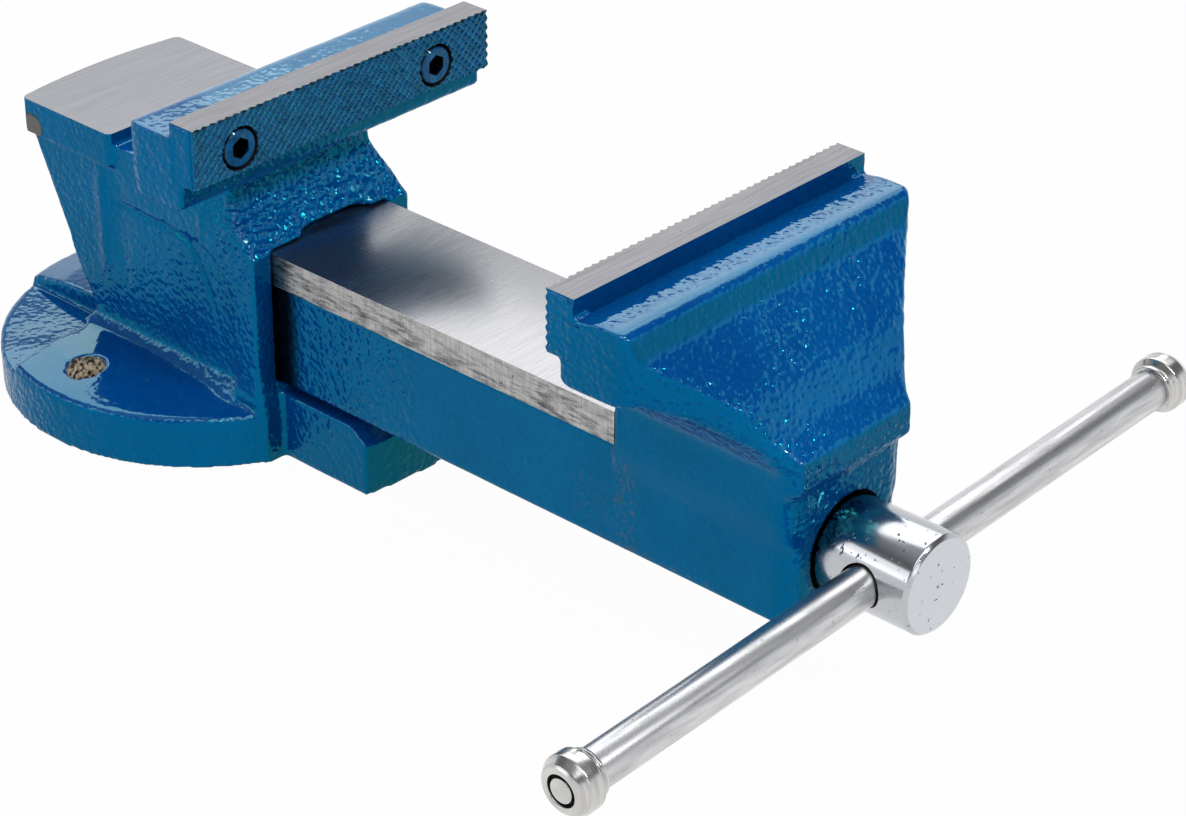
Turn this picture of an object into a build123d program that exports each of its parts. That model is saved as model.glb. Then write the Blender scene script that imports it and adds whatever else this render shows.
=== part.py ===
from build123d import *
import math
import os

# Bench vise with a round bolt-down base, a sliding jaw on a box-shaped beam,
# a lead screw and a loose tommy bar. All lengths are in millimetres.
#
# Frame: +X runs to the right along the jaws, -Y points at the handle, +Z is up.
# The origin is the centre of the round base, on its underside.

os.makedirs("parts", exist_ok=True)

# ---------------------------------------------------------------- jaws
jaw_width = 100.0            # length of both jaws along X
jaw_opening = 113.2          # distance between the gripping faces as stored
jaw_bar_depth = 22.6         # gripping face to the back of the cast jaw
jaw_bar_top = 98.6           # top of the cast jaw above the underside of the base
jaw_bar_height = 18.8        # height of the cast jaw at its ends
jaw_ledge_setback = 4.3      # ledge under a plate, back from the gripping face
jaw_end_radius = 2.4         # rounding of the cast jaw's long edges
jaw_corner_radius = 4.0      # rounding of its upright rear corners
jaw_end_taper = 0.5          # its ends draw in this much towards the back
casting_overhang = 0.6       # the cast fixed jaw is longer than its plate at each end
plate_thickness = 8.4
plate_height = 15.6
plate_rise = 3.9             # the plates stand above the castings
fixed_face_y = -55.3         # gripping face of the fixed jaw

# ---------------------------------------------------------------- plate screws
plate_screw_inset = 17.0     # from the ends of the plate
plate_screw_offset = -1.6    # the pair of screws sits off the plate's middle
plate_screw_drop = 9.4       # screw centre below the top of the plate
plate_screw_radius = 3.0
plate_screw_length = 14.0    # under the head
cap_head_radius = 5.0
cap_head_height = 6.0
cap_head_chamfer = 0.5
cap_socket_width = 5.0       # across the flats of the hexagon
cap_socket_depth = 3.0
counterbore_radius = 5.5
counterbore_depth = 6.4
screw_hole_clearance = 0.3   # radial, in the plate
thread_clearance = 0.05      # radial, in tapped holes

# ---------------------------------------------------------------- base
base_radius = 55.7
base_rim_height = 14.0
base_shoulder_radius = 44.0  # the top slopes down from here to the rim
base_shoulder_height = 16.3
base_crown_height = 17.6     # height of the base beside the body
base_edge_radius = 1.8
base_rear_drop = 2.4         # rear quarters lie lower than the tail between them
base_tail_width = 35.0
bolt_pad_width = 34.0        # raised strip that holds the two bolt holes, along Y
bolt_hole_inset = 12.7       # hole centre from the rim of the base
bolt_hole_radius = 5.3
body_root = 3.5              # the body spreads this much where it meets the base
front_foot_width = 41.0
front_foot_reach = 81.3      # front of the foot, from the centre of the base
front_foot_height = 18.3
front_foot_nose_height = 14.3
front_foot_nose_length = 6.0
front_foot_bow = 1.6         # how far the front of the foot bulges

# ---------------------------------------------------------------- slide and beam
slide_width = 40.6
slide_top = 57.0
slide_land_height = 8.6      # height of the milled side strip
slide_relief = 0.3           # the cast sides lie this much inside the milled strip
slide_clearance = 0.3        # between the beam and its tunnel, on every side
beam_bottom = 20.8
beam_wall = 6.5
beam_roof = 9.0
beam_rear_y = 12.0
screw_axis_height = 35.1

# ---------------------------------------------------------------- fixed body
body_front_y = -48.5         # front face of the portal
body_half_width = 27.2
body_wall_half_width = 25.2  # behind the portal the sides are recessed
body_rear_half_width = 24.2
portal_thickness = 9.0
portal_edge_radius = 1.6
portal_foot_reach = 1.6      # the portal's foot runs forward to the rim of the base
portal_foot_rise = 8.0
recess_top = 55.5            # crown of the recess in each side
recess_rear_y = 0.0          # from here back the whole side is flush with the recess
recess_radius = 15.0
upper_wall_front_y = -29.0   # above the recess the side draws in from here
upper_wall_half_width = 26.6
rear_taper_y = 10.5          # from here back the sides draw in towards the rear
body_top = 71.0              # casting between the jaw and the anvil
body_rear_low_y = 16.4       # rear face at the base
body_rear_high_y = 39.0      # rear face under the anvil
neck_front_y = -38.0         # neck that carries the fixed jaw
neck_half_width = 24.2
neck_shoulder_low = 61.0     # the portal's sides draw in to the neck between these heights
neck_shoulder_high = 71.0
neck_gusset = 7.0            # slope between the back of the jaw and the body's top
portal_slope_length = 8.2    # the portal's top slopes back to the neck
portal_slope_rise = 9.0
portal_slope_foot = 4.0      # rise of the slope's shallow upper part
portal_slope_radius = 3.0    # at both ends of that shallow part
neck_gusset_radius = 5.0
neck_side_radius = 6.0
body_rear_radius = 4.0       # where the rear face leaves the base
anvil_top = 74.5
anvil_thickness = 9.5
anvil_half_width = 26.8
anvil_front_y = 4.5
anvil_rear_y = 38.7
anvil_rear_bow = 2.4
anvil_corner_radius = 1.6
roof_scallop_radius = 16.0   # shallow cast pocket over the slide's front
roof_scallop_x = 2.7
roof_scallop_depth = 6.5
roof_scallop_height = 1.5

# ---------------------------------------------------------------- sliding jaw casting
shoulder_setback = 6.0       # the milled slide ends this far in front of the jaw face
head_half_width = 21.2       # casting at the root of the sliding jaw
cheek_drop = 8.0             # that width starts this far under the milled strip
nose_reach = 47.0            # gripping face to the front face of the nose
nose_wall = 15.0             # thickness of the wall that takes the screw's thrust
nose_edge_radius = 6.0
nose_recess_depth = 4.0
nose_recess_clearance = 1.15  # radial gap around the screw's head
lip_reach = 48.6             # the flared front ends in a small lip over the nose
lip_height = 64.0
lip_underside = 56.0
jaw_ledge_height = 15.9      # the casting slopes back to the ledge from here down
head_brow_depth = 2.2        # the front of the head, behind the back of the bar
head_brow_drop = 7.6
head_waist_depth = 15.2
head_waist_share = 0.52      # height of the waist between the lip and the brow
head_waist_radius = 14.0
head_cheek_depth = 20.2
head_cheek_rise = 5.5        # above the lip
head_cheek_radius = 6.0
head_inset = 0.4             # the head stays this far inside the faces of the bar
head_small_radius = 3.0      # at the ledge, the brow and the cheeks
lip_radius = 2.0
wing_foot_rise = 4.5         # the wings leave the cheeks this far above the lip's underside
wing_knee_share = 0.326      # height of the wing's two bends between its foot and the bar
wing_elbow_share = 0.741
wing_knee_reach = 5.0        # and how far they stand outside the slide
wing_elbow_reach = 15.7
wing_tip_inset = 4.0         # the wing runs level from here to the end of the bar
wing_foot_round = 0.155      # radii as shares of the wing's height
wing_knee_round = 0.31
wing_elbow_round = 0.41
wing_tip_round = 0.2
flare_inset = (0.5, 9.5, 20.0)     # plan of the flare: in from the end of the bar
flare_reach = (-0.4, 6.0, 14.4)    # and out behind it
flare_radius = (4.0, 12.0, 9.0)
flare_root_reach = 23.0
flare_root_width = 0.7       # outside the slide at the flare's root
flare_lip_width = 1.2        # inside the slide at the lip

# ---------------------------------------------------------------- lead screw
thread_radius = 8.0
thread_pitch = 4.0
thread_depth = 2.2
thread_crest_share = 0.366   # of the pitch, at the crest and again at the root
thread_flank_share = 0.134
thread_front_gap = 19.0      # plain shank between the nose wall and the thread
screw_rear_y = 10.0
screw_end_chamfer = 2.0
head_radius = 12.25
head_overhang = 26.0         # head in front of the nose
head_chamfer = 0.8
journal_radius = 9.0
journal_clearance = 0.08
handle_hole_radius = 5.5
handle_hole_back = 13.0      # handle axis behind the front of the head
handle_hole_rise = 0.15      # the loose bar rests low in its hole
thrust_washer_thickness = 1.5
thrust_washer_radius = 12.0
washer_bore_clearance = 0.15
seat_gap = 0.3               # between parts that turn against each other

# ---------------------------------------------------------------- spring and retainer
spring_wire_radius = 0.8
spring_coil_radius = 10.4
spring_length = 9.5
spring_turns = 3.5
retainer_thickness = 2.0
retainer_radius = 12.0
retainer_pin_radius = 1.6
retainer_pin_length = 22.0
retainer_pin_bore = 0.96      # radius of the hollow in the slotted pin
retainer_pin_slot = 0.8
retainer_pin_clearance = 0.1

# ---------------------------------------------------------------- spindle nut
nut_front_y = -34.0
nut_length = 25.0
nut_radius = 10.6
nut_foot_half_width = 12.4
nut_foot_height = 6.5
nut_pocket_depth = 6.3       # the foot is let into the floor of the tunnel
nut_pocket_clearance = 0.2
nut_bore_clearance = 0.2
nut_bolt_radius = 4.0
nut_bolt_reach = 10.0        # thread engaged in the nut
nut_bolt_head_flats = 13.0
nut_bolt_head_height = 5.3
nut_bolt_bore_radius = 9.5
nut_bolt_bore_depth = 8.6
nut_bolt_hole_clearance = 0.3
flat_washer_radius = 8.0
flat_washer_thickness = 1.6
lock_washer_radius = 7.0
lock_washer_thickness = 1.2
lock_washer_slot = 1.5

# ---------------------------------------------------------------- handle
bar_radius = 5.0
handle_tilt = 2.2            # the bar is stored turned this many degrees
handle_left_reach = 100.3    # screw axis to the inner face of the left knob
handle_right_reach = 99.4    # screw axis to the inner face of the right knob
knob_length = 8.8
knob_radius = 7.2
knob_collar_radius = 6.5
knob_collar_length = 3.2
knob_collar_chamfer = 0.7
knob_shoulder_length = 0.5   # slope between the collar and the knob
knob_face_radius = 5.4
knob_chamfer_length = 1.7
tenon_radius = 3.0
tenon_clearance = 0.05
rivet_groove_width = 0.6
rivet_groove_depth = 1.2

# ---------------------------------------------------------------- derived places
slide_half = slide_width / 2
tunnel_half = slide_half + slide_clearance
tunnel_top = slide_top + slide_clearance
tunnel_floor = beam_bottom - slide_clearance
channel_half = slide_half - beam_wall
channel_top = slide_top - beam_roof
sliding_face_y = fixed_face_y - jaw_opening
shoulder_y = sliding_face_y + shoulder_setback
nose_y = sliding_face_y - nose_reach
nose_inner_y = nose_y + nose_wall
nose_recess_floor_y = nose_y + nose_recess_depth
plate_top = jaw_bar_top + plate_rise
plate_bottom = plate_top - plate_height
anvil_bottom = anvil_top - anvil_thickness
bolt_hole_x = base_radius - bolt_hole_inset
plate_screw_z = plate_top - plate_screw_drop
jaw_bar_bottom = jaw_bar_top - jaw_bar_height
head_front_y = nose_y - head_overhang
thrust_washer_front_y = nose_recess_floor_y - seat_gap - thrust_washer_thickness
handle_y = head_front_y + handle_hole_back
retainer_y = nose_inner_y + spring_length + 2 * seat_gap
retainer_pin_y = retainer_y + retainer_thickness + retainer_pin_clearance + retainer_pin_radius
thread_front_y = nose_inner_y + thread_front_gap
nut_rear_y = nut_front_y + nut_length
nut_mid_y = (nut_front_y + nut_rear_y) / 2
nut_foot_bottom = tunnel_floor - nut_pocket_depth
far_out = 400.0              # longer than anything it cuts


# ---------------------------------------------------------------- building blocks
def block(x0, x1, y0, y1, z0, z1):
    """A box between two corners."""
    centre = Location(((x0 + x1) / 2, (y0 + y1) / 2, (z0 + z1) / 2))
    return centre * Box(abs(x1 - x0), abs(y1 - y0), abs(z1 - z0))


def rod_x(radius, x0, x1, y, z):
    """A cylinder along X."""
    place = Location(((x0 + x1) / 2, y, z), (0, 90, 0))
    return place * Cylinder(radius, abs(x1 - x0))


def rod_y(radius, y0, y1, x, z):
    """A cylinder along Y."""
    place = Location((x, (y0 + y1) / 2, z), (90, 0, 0))
    return place * Cylinder(radius, abs(y1 - y0))


def rod_z(radius, x, y, z0, z1):
    """A cylinder along Z."""
    return Location((x, y, (z0 + z1) / 2)) * Cylinder(radius, abs(z1 - z0))


def outline(points):
    """A face from (a, b, corner radius) points."""
    corners = [(a, b) for a, b, radius in points]
    radii = [radius for a, b, radius in points]
    return make_face(FilletPolyline(*corners, radius=radii, close=True))


def side_view(points, half_width):
    """Extrude a (y, z, radius) outline to both sides along X."""
    plane = Plane(origin=(0, 0, 0), x_dir=(0, 1, 0), z_dir=(1, 0, 0))
    return extrude(plane * outline(points), amount=half_width, both=True)


def front_view(points, y0, y1):
    """Extrude an (x, z, radius) outline from y0 to y1."""
    plane = Plane(origin=(0, max(y0, y1), 0), x_dir=(1, 0, 0), z_dir=(0, -1, 0))
    return extrude(plane * outline(points), amount=abs(y1 - y0))


def top_view(points, z0, z1):
    """Extrude an (x, y, radius) outline from z0 to z1."""
    plane = Plane(origin=(0, 0, min(z0, z1)))
    return extrude(plane * outline(points), amount=abs(z1 - z0))


def mirrored(points):
    """Complete a right-hand half outline with its mirror image across X = 0."""
    left = [(-a, b, radius) for a, b, radius in reversed(points)]
    return points + left


def turned_y(points, x, z):
    """Revolve a (y, radius) outline about a line along Y."""
    plane = Plane(origin=(x, 0, z), x_dir=(0, 1, 0), z_dir=(1, 0, 0))
    face = plane * make_face(Polyline(*points, close=True))
    return revolve(face, axis=Axis((x, 0, z), (0, 1, 0)))


def turned_x(points, y, z):
    """Revolve an (x, radius) outline about a line along X."""
    plane = Plane(origin=(0, y, z), x_dir=(1, 0, 0), z_dir=(0, -1, 0))
    face = plane * make_face(Polyline(*points, close=True))
    return revolve(face, axis=Axis((0, y, z), (1, 0, 0)))


def ring_z(outer, inner, x, y, z0, z1):
    """A flat washer lying level."""
    return rod_z(outer, x, y, z0, z1) - rod_z(inner, x, y, z0 - 1, z1 + 1)


def ring_y(outer, inner, y0, y1):
    """A flat washer on the screw's axis."""
    return rod_y(outer, y0, y1, 0, screw_axis_height) - rod_y(
        inner, y0 - 1, y1 + 1, 0, screw_axis_height
    )


def with_handle(shape):
    """Turn a piece about the screw's axis to the angle at which the handle is stored."""
    axis = Axis((0, 0, screw_axis_height), (0, 1, 0))
    return shape.rotate(axis, -handle_tilt)


# ---------------------------------------------------------------- jaw pieces
# into is +1 where the screws run towards +Y (fixed jaw) and -1 for the sliding jaw
def jaw_bar(face_y, into, overhang):
    """The full-width cast bar that carries a jaw plate, with a ledge under the plate."""
    ledge_y = face_y + into * jaw_ledge_setback
    seat_y = face_y + into * plate_thickness
    back_y = face_y + into * jaw_bar_depth
    half = jaw_width / 2 + overhang
    profile = [
        (ledge_y, jaw_bar_bottom, jaw_end_radius),
        (ledge_y, plate_bottom, 0),
        (seat_y, plate_bottom, 0),
        (seat_y, jaw_bar_top, jaw_end_radius / 4),
        (back_y, jaw_bar_top, jaw_end_radius),
        (back_y, jaw_bar_bottom, jaw_end_radius),
    ]
    plan = [
        (half, face_y, 0),
        (half, seat_y, 0),
        (half - jaw_end_taper, back_y, jaw_corner_radius),
    ]
    return side_view(profile, half) & top_view(
        mirrored(plan), jaw_bar_bottom - 1, jaw_bar_top + 1
    )


def plate_screw_places():
    """X of the two screws of one plate."""
    half = jaw_width / 2 - plate_screw_inset
    return (plate_screw_offset - half, plate_screw_offset + half)


def tapped_holes(face_y, into):
    """Holes in a casting for the plate screws."""
    start = face_y + into * (plate_thickness - 1)
    end = face_y + into * (counterbore_depth + plate_screw_length + 1)
    radius = plate_screw_radius + thread_clearance
    return [rod_y(radius, start, end, x, plate_screw_z) for x in plate_screw_places()]


def jaw_plate(face_y, into):
    """A hardened jaw plate with two counterbored holes."""
    plate = block(
        -jaw_width / 2,
        jaw_width / 2,
        face_y,
        face_y + into * plate_thickness,
        plate_bottom,
        plate_top,
    )
    for x in plate_screw_places():
        bore_end = face_y + into * counterbore_depth
        plate -= rod_y(counterbore_radius, face_y - into, bore_end, x, plate_screw_z)
        hole_end = face_y + into * (plate_thickness + 1)
        hole_radius = plate_screw_radius + screw_hole_clearance
        plate -= rod_y(hole_radius, face_y, hole_end, x, plate_screw_z)
    return plate


def plate_screw(face_y, into, x):
    """A socket head cap screw with its head down in the plate's counterbore."""
    head_back = face_y + into * counterbore_depth
    head_front = head_back - into * cap_head_height
    tip = head_back + into * plate_screw_length
    points = [
        (head_front, 0),
        (head_front, cap_head_radius - cap_head_chamfer),
        (head_front + into * cap_head_chamfer, cap_head_radius),
        (head_back, cap_head_radius),
        (head_back, plate_screw_radius),
        (tip - into * cap_head_chamfer, plate_screw_radius),
        (tip, plate_screw_radius - cap_head_chamfer),
        (tip, 0),
    ]
    screw = turned_y(points, x, plate_screw_z)
    socket_floor = head_front + into * cap_socket_depth
    plane = Plane(origin=(x, head_front - into, plate_screw_z), z_dir=(0, into, 0))
    hexagon = RegularPolygon(cap_socket_width / 2, 6, major_radius=False)
    return screw - extrude(plane * hexagon, amount=abs(socket_floor - head_front) + 1)


# ---------------------------------------------------------------- fixed casting
def round_base():
    """The round base: a rim, a crown beside the body and two lower rear quarters."""
    section = [
        (0, 0, 0),
        (base_radius, 0, 0),
        (base_radius, base_rim_height, base_edge_radius),
        (base_shoulder_radius, base_shoulder_height, 0),
        (body_half_width, base_crown_height, 0),
        (0, base_crown_height, 0),
    ]
    plane = Plane(origin=(0, 0, 0), x_dir=(1, 0, 0), z_dir=(0, -1, 0))
    base = revolve(plane * outline(section), axis=Axis.Z)
    portal_foot_y = body_front_y - portal_foot_reach
    base -= block(-far_out, far_out, -far_out, portal_foot_y, -1, far_out)
    for side in (-1, 1):
        base -= block(
            side * base_tail_width / 2,
            side * far_out,
            bolt_pad_width / 2,
            far_out,
            base_rim_height - base_rear_drop,
            far_out,
        )
    return base


def bowed_plate(half, front_y, rear_y, bow, z0, z1):
    """A level plate whose edge at rear_y is bowed out by bow; the bow's sign is its direction."""
    edges = [
        Line((-half, front_y), (-half, rear_y)),
        ThreePointArc((-half, rear_y), (0, rear_y + bow), (half, rear_y)),
        Line((half, rear_y), (half, front_y)),
        Line((half, front_y), (-half, front_y)),
    ]
    plate = extrude(make_face(Wire(edges)), amount=z1 - z0)
    return Location((0, 0, z0)) * plate


def front_foot():
    """The foot in front of the base, under the beam."""
    half = front_foot_width / 2
    corner_y = -front_foot_reach + front_foot_bow
    foot = bowed_plate(half, body_front_y + 1, corner_y, -front_foot_bow, 0, front_foot_height)
    slope = [
        (corner_y + front_foot_nose_length, front_foot_height + 1, 0),
        (corner_y + front_foot_nose_length, front_foot_height, 0),
        (corner_y, front_foot_nose_height, 0),
        (-front_foot_reach - 1, front_foot_nose_height, 0),
        (-front_foot_reach - 1, front_foot_height + 1, 0),
    ]
    return foot - side_view(slope, half + 1)


def body_block():
    """The upright body with the sloping portal front, the neck and the rear face."""
    jaw_back_y = fixed_face_y + jaw_bar_depth
    neck_top = jaw_bar_top - jaw_end_radius
    shoulder_z = slide_top + portal_slope_rise
    profile = [
        (body_front_y - portal_foot_reach, 0, 0),
        (body_front_y - portal_foot_reach, base_rim_height, 0),
        (body_front_y, base_rim_height + portal_foot_rise, 0),
        (body_front_y, slide_top, portal_edge_radius / 2),
        (body_front_y + portal_slope_length, shoulder_z, portal_slope_radius),
        (neck_front_y, shoulder_z + portal_slope_foot, portal_slope_radius),
        (neck_front_y, neck_top, 0),
        (jaw_back_y - jaw_end_radius, neck_top, 0),
        (jaw_back_y + neck_gusset, body_top, neck_gusset_radius),
        (anvil_front_y + anvil_corner_radius, body_top, 0),
        (anvil_front_y + anvil_corner_radius, anvil_bottom, 0),
        (body_rear_high_y, anvil_bottom, 0),
        (body_rear_low_y, base_crown_height, body_rear_radius),
        (body_rear_low_y, 0, 0),
    ]
    plan = [
        (body_half_width, body_front_y - portal_foot_reach, portal_edge_radius),
        (body_half_width, body_rear_high_y, 0),
    ]
    body = side_view(profile, body_half_width) & top_view(mirrored(plan), 0, jaw_bar_top)
    for side in (-1, 1):
        body -= side_recess(side)
        body -= side_taper(side)
        body -= neck_side(side)
    return body


def side_recess(side):
    """The shallow recess behind the portal, with a round upper corner."""
    start = body_front_y + portal_thickness
    points = [
        (start, -1, 0),
        (start, recess_top, recess_radius),
        (far_out, recess_top, 0),
        (far_out, -1, 0),
    ]
    outside = block(side * body_wall_half_width, side * far_out, -far_out, far_out, -1, far_out)
    return side_view(points, far_out) & outside


def side_taper(side):
    """Each side draws in above the recess, and again towards the rear."""
    points = [
        (side * upper_wall_half_width, upper_wall_front_y, 0),
        (side * body_wall_half_width, recess_rear_y, 0),
        (side * body_wall_half_width, rear_taper_y, 0),
        (side * body_rear_half_width, body_rear_high_y + 1, 0),
        (side * (body_half_width + 5), body_rear_high_y + 1, 0),
        (side * (body_half_width + 5), upper_wall_front_y, 0),
    ]
    return top_view(points, 0, body_top + 1)


def neck_side(side):
    """Above the portal the sides slope in to the narrower neck."""
    points = [
        (side * (body_half_width + 1), neck_shoulder_low - 1, 0),
        (side * body_half_width, neck_shoulder_low, 0),
        (side * neck_half_width, neck_shoulder_high, neck_side_radius),
        (side * neck_half_width, jaw_bar_top, 0),
        (side * (body_half_width + 1), jaw_bar_top, 0),
    ]
    return front_view(points, body_front_y - 1, fixed_face_y + jaw_bar_depth + neck_gusset)


def body_skirt():
    """The spread of the body's walls where they meet the round base."""
    half = body_wall_half_width + body_root
    front = body_front_y + portal_edge_radius
    rear = body_rear_low_y + body_root
    corners = [(-half, front), (half, front), (half, rear), (-half, rear)]
    foot = Plane(origin=(0, 0, base_crown_height - 1)) * make_face(Polyline(*corners, close=True))
    return extrude(foot, amount=body_root, dir=(0, 0, 1), taper=45)


def anvil():
    """The flat anvil behind the fixed jaw, with a slightly bowed rear edge."""
    slab = bowed_plate(
        anvil_half_width, anvil_front_y, anvil_rear_y, anvil_rear_bow, anvil_bottom, anvil_top
    )
    return fillet(slab.edges().filter_by(Axis.Z), anvil_corner_radius)


def nut_seat():
    """Cuts for the spindle nut: the pocket in the tunnel's floor and its bolt hole."""
    half = nut_foot_half_width + nut_pocket_clearance
    pocket = block(
        -half,
        half,
        nut_front_y - nut_pocket_clearance,
        nut_rear_y + nut_pocket_clearance,
        nut_foot_bottom,
        tunnel_floor + 1,
    )
    bore = rod_z(nut_bolt_bore_radius, 0, nut_mid_y, -1, nut_bolt_bore_depth)
    hole_radius = nut_bolt_radius + nut_bolt_hole_clearance
    return [pocket, bore, rod_z(hole_radius, 0, nut_mid_y, 0, nut_foot_bottom + 1)]


def fixed_jaw_body():
    """The fixed casting: base, foot, body, anvil and fixed jaw, with all its holes."""
    casting = round_base() + front_foot() + body_skirt() + body_block() + anvil()
    casting += jaw_bar(fixed_face_y, 1, casting_overhang)
    tunnel = block(-tunnel_half, tunnel_half, -far_out, far_out, tunnel_floor, tunnel_top)
    casting -= tunnel
    casting -= rod_z(
        roof_scallop_radius,
        roof_scallop_x,
        body_front_y + roof_scallop_depth - roof_scallop_radius,
        slide_top,
        tunnel_top + roof_scallop_height,
    )
    for cut in nut_seat() + tapped_holes(fixed_face_y, 1):
        casting -= cut
    for side in (-1, 1):
        casting -= rod_z(bolt_hole_radius, side * bolt_hole_x, 0, -1, base_crown_height + 1)
    return casting


# ---------------------------------------------------------------- sliding casting
def slide_beam():
    """The box beam: a milled slide on top, open below for the lead screw and its nut."""
    land_bottom = slide_top - slide_land_height
    cast_half = slide_half - slide_relief
    section = [
        (cast_half, beam_bottom, 0),
        (cast_half, land_bottom, 0),
        (slide_half, land_bottom, 0),
        (slide_half, slide_top, 0.3),
    ]
    return front_view(mirrored(section), beam_rear_y, shoulder_y - 1)


def nose_block(half, z0, z1):
    """A block from the shoulder to the front of the nose, with rounded upright corners."""
    plan = [
        (half, shoulder_y, 0),
        (half, nose_y, nose_edge_radius),
    ]
    return top_view(mirrored(plan), z0, z1)


def nose():
    """The lower part of the sliding jaw: the beam's front end and thrust wall."""
    return nose_block(slide_half - slide_relief, beam_bottom, slide_top + 3)


def head_profile():
    """(y, z, radius) side outline of the flared head, from the shoulder round to the nose."""
    jaw = sliding_face_y
    back = jaw - jaw_bar_depth
    root_z = slide_top - slide_land_height - cheek_drop
    ledge_y = jaw - jaw_ledge_setback - head_inset
    seat_y = jaw - plate_thickness - head_inset
    top_z = jaw_bar_top - head_inset
    brow_z = jaw_bar_top - head_brow_drop
    waist_z = lip_height + (brow_z - lip_height) * head_waist_share
    return [
        (shoulder_y, root_z, 0),
        (shoulder_y, slide_top + 1, 0),
        (ledge_y, plate_bottom - jaw_ledge_height, head_small_radius),
        (ledge_y, plate_bottom, 0),
        (seat_y, plate_bottom, 0),
        (seat_y, top_z, 0),
        (back, top_z, jaw_end_radius),
        (back - head_brow_depth, brow_z, head_small_radius),
        (back - head_waist_depth, waist_z, head_waist_radius),
        (back - head_cheek_depth, lip_height + head_cheek_rise, head_cheek_radius),
        (jaw - lip_reach, lip_height, lip_radius),
        (jaw - lip_reach, lip_underside, lip_radius),
        (nose_y + 1, lip_underside - 1, 0),
        (nose_y + 1, root_z, 0),
    ]


def head_plan():
    """(x, y, radius) plan of the flared head, right-hand half."""
    back = sliding_face_y - jaw_bar_depth
    end = jaw_width / 2
    points = [
        (end, shoulder_y, 0),
        (end, sliding_face_y - plate_thickness, 0),
    ]
    for inset, reach, radius in zip(flare_inset, flare_reach, flare_radius):
        points.append((end - inset, back - reach, radius))
    points.append((slide_half + flare_root_width, back - flare_root_reach, flare_radius[0]))
    points.append((slide_half - flare_lip_width, sliding_face_y - lip_reach - head_inset, 0))
    return points


def head_front():
    """(x, z, radius) front outline of the flared head, right-hand half: root, wing, bar end."""
    root_z = slide_top - slide_land_height - cheek_drop
    cast_half = slide_half - slide_relief
    end = jaw_width / 2
    foot_z = lip_underside + wing_foot_rise
    tip_z = jaw_bar_bottom + head_inset
    height = tip_z - foot_z
    return [
        (cast_half, root_z, 0),
        (head_half_width, root_z + cheek_drop, head_small_radius),
        (head_half_width, foot_z, height * wing_foot_round),
        (slide_half + wing_knee_reach, foot_z + height * wing_knee_share, height * wing_knee_round),
        (slide_half + wing_elbow_reach, foot_z + height * wing_elbow_share, height * wing_elbow_round),
        (end - wing_tip_inset, tip_z, height * wing_tip_round),
        (end, tip_z, 0),
        (end, jaw_bar_top, 0),
    ]


def flared_head():
    """The sliding jaw above the nose, flaring from the beam's width to the jaw's."""
    root_z = slide_top - slide_land_height - cheek_drop
    solid = side_view(head_profile(), jaw_width / 2)
    solid &= top_view(mirrored(head_plan()), root_z, jaw_bar_top)
    solid &= front_view(mirrored(head_front()), shoulder_y + 1, nose_y - 10)
    cheeks = solid & nose_block(head_half_width, root_z, lip_underside)
    flare = solid & block(-far_out, far_out, -far_out, far_out, lip_underside - 1, far_out)
    return cheeks + flare


def sliding_jaw():
    """The sliding casting: beam, nose, flared head and jaw bar, with all its holes."""
    casting = slide_beam() + nose() + flared_head()
    casting += jaw_bar(sliding_face_y, -1, 0)
    casting -= block(
        -channel_half, channel_half, nose_inner_y, beam_rear_y + 1, beam_bottom - 1, channel_top
    )
    recess_radius_y = head_radius + nose_recess_clearance
    casting -= rod_y(recess_radius_y, nose_y - 5, nose_recess_floor_y, 0, screw_axis_height)
    casting -= rod_y(journal_radius, nose_y, nose_inner_y + 1, 0, screw_axis_height)
    for cut in tapped_holes(sliding_face_y, -1):
        casting -= cut
    return casting


# ---------------------------------------------------------------- lead screw
def thread_outline():
    """(y, radius) points of the thread's crests and roots, front to rear."""
    crest = thread_crest_share * thread_pitch
    flank = thread_flank_share * thread_pitch
    root_radius = thread_radius - thread_depth
    points = []
    y = thread_front_y
    while y + thread_pitch < screw_rear_y - screw_end_chamfer - crest:
        points.append((y, root_radius))
        points.append((y + crest, root_radius))
        points.append((y + crest + flank, thread_radius))
        points.append((y + 2 * crest + flank, thread_radius))
        y += thread_pitch
    return points


def spindle():
    """The lead screw with its round head, bored across for the handle."""
    shank_radius = thread_radius
    journal = journal_radius - journal_clearance
    points = [
        (head_front_y, 0),
        (head_front_y, head_radius - head_chamfer),
        (head_front_y + head_chamfer, head_radius),
        (thrust_washer_front_y, head_radius),
        (thrust_washer_front_y, journal),
        (nose_inner_y + seat_gap, journal),
        (nose_inner_y + seat_gap, shank_radius),
        (thread_front_y - thread_depth, shank_radius),
    ]
    points += thread_outline()
    points += [
        (screw_rear_y - screw_end_chamfer, thread_radius),
        (screw_rear_y, thread_radius - screw_end_chamfer),
        (screw_rear_y, 0),
    ]
    screw = turned_y(points, 0, screw_axis_height)
    handle_hole = rod_x(
        handle_hole_radius,
        -far_out,
        far_out,
        handle_y,
        screw_axis_height + handle_hole_rise,
    )
    pin_hole = rod_x(
        retainer_pin_radius + retainer_pin_clearance,
        -far_out,
        far_out,
        retainer_pin_y,
        screw_axis_height,
    )
    return screw - with_handle(handle_hole) - with_handle(pin_hole)


def thrust_washer():
    """The washer between the screw's head and the floor of the nose recess."""
    bore = journal_radius - journal_clearance + washer_bore_clearance
    rear = thrust_washer_front_y + thrust_washer_thickness
    return ring_y(thrust_washer_radius, bore, thrust_washer_front_y, rear)


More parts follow.
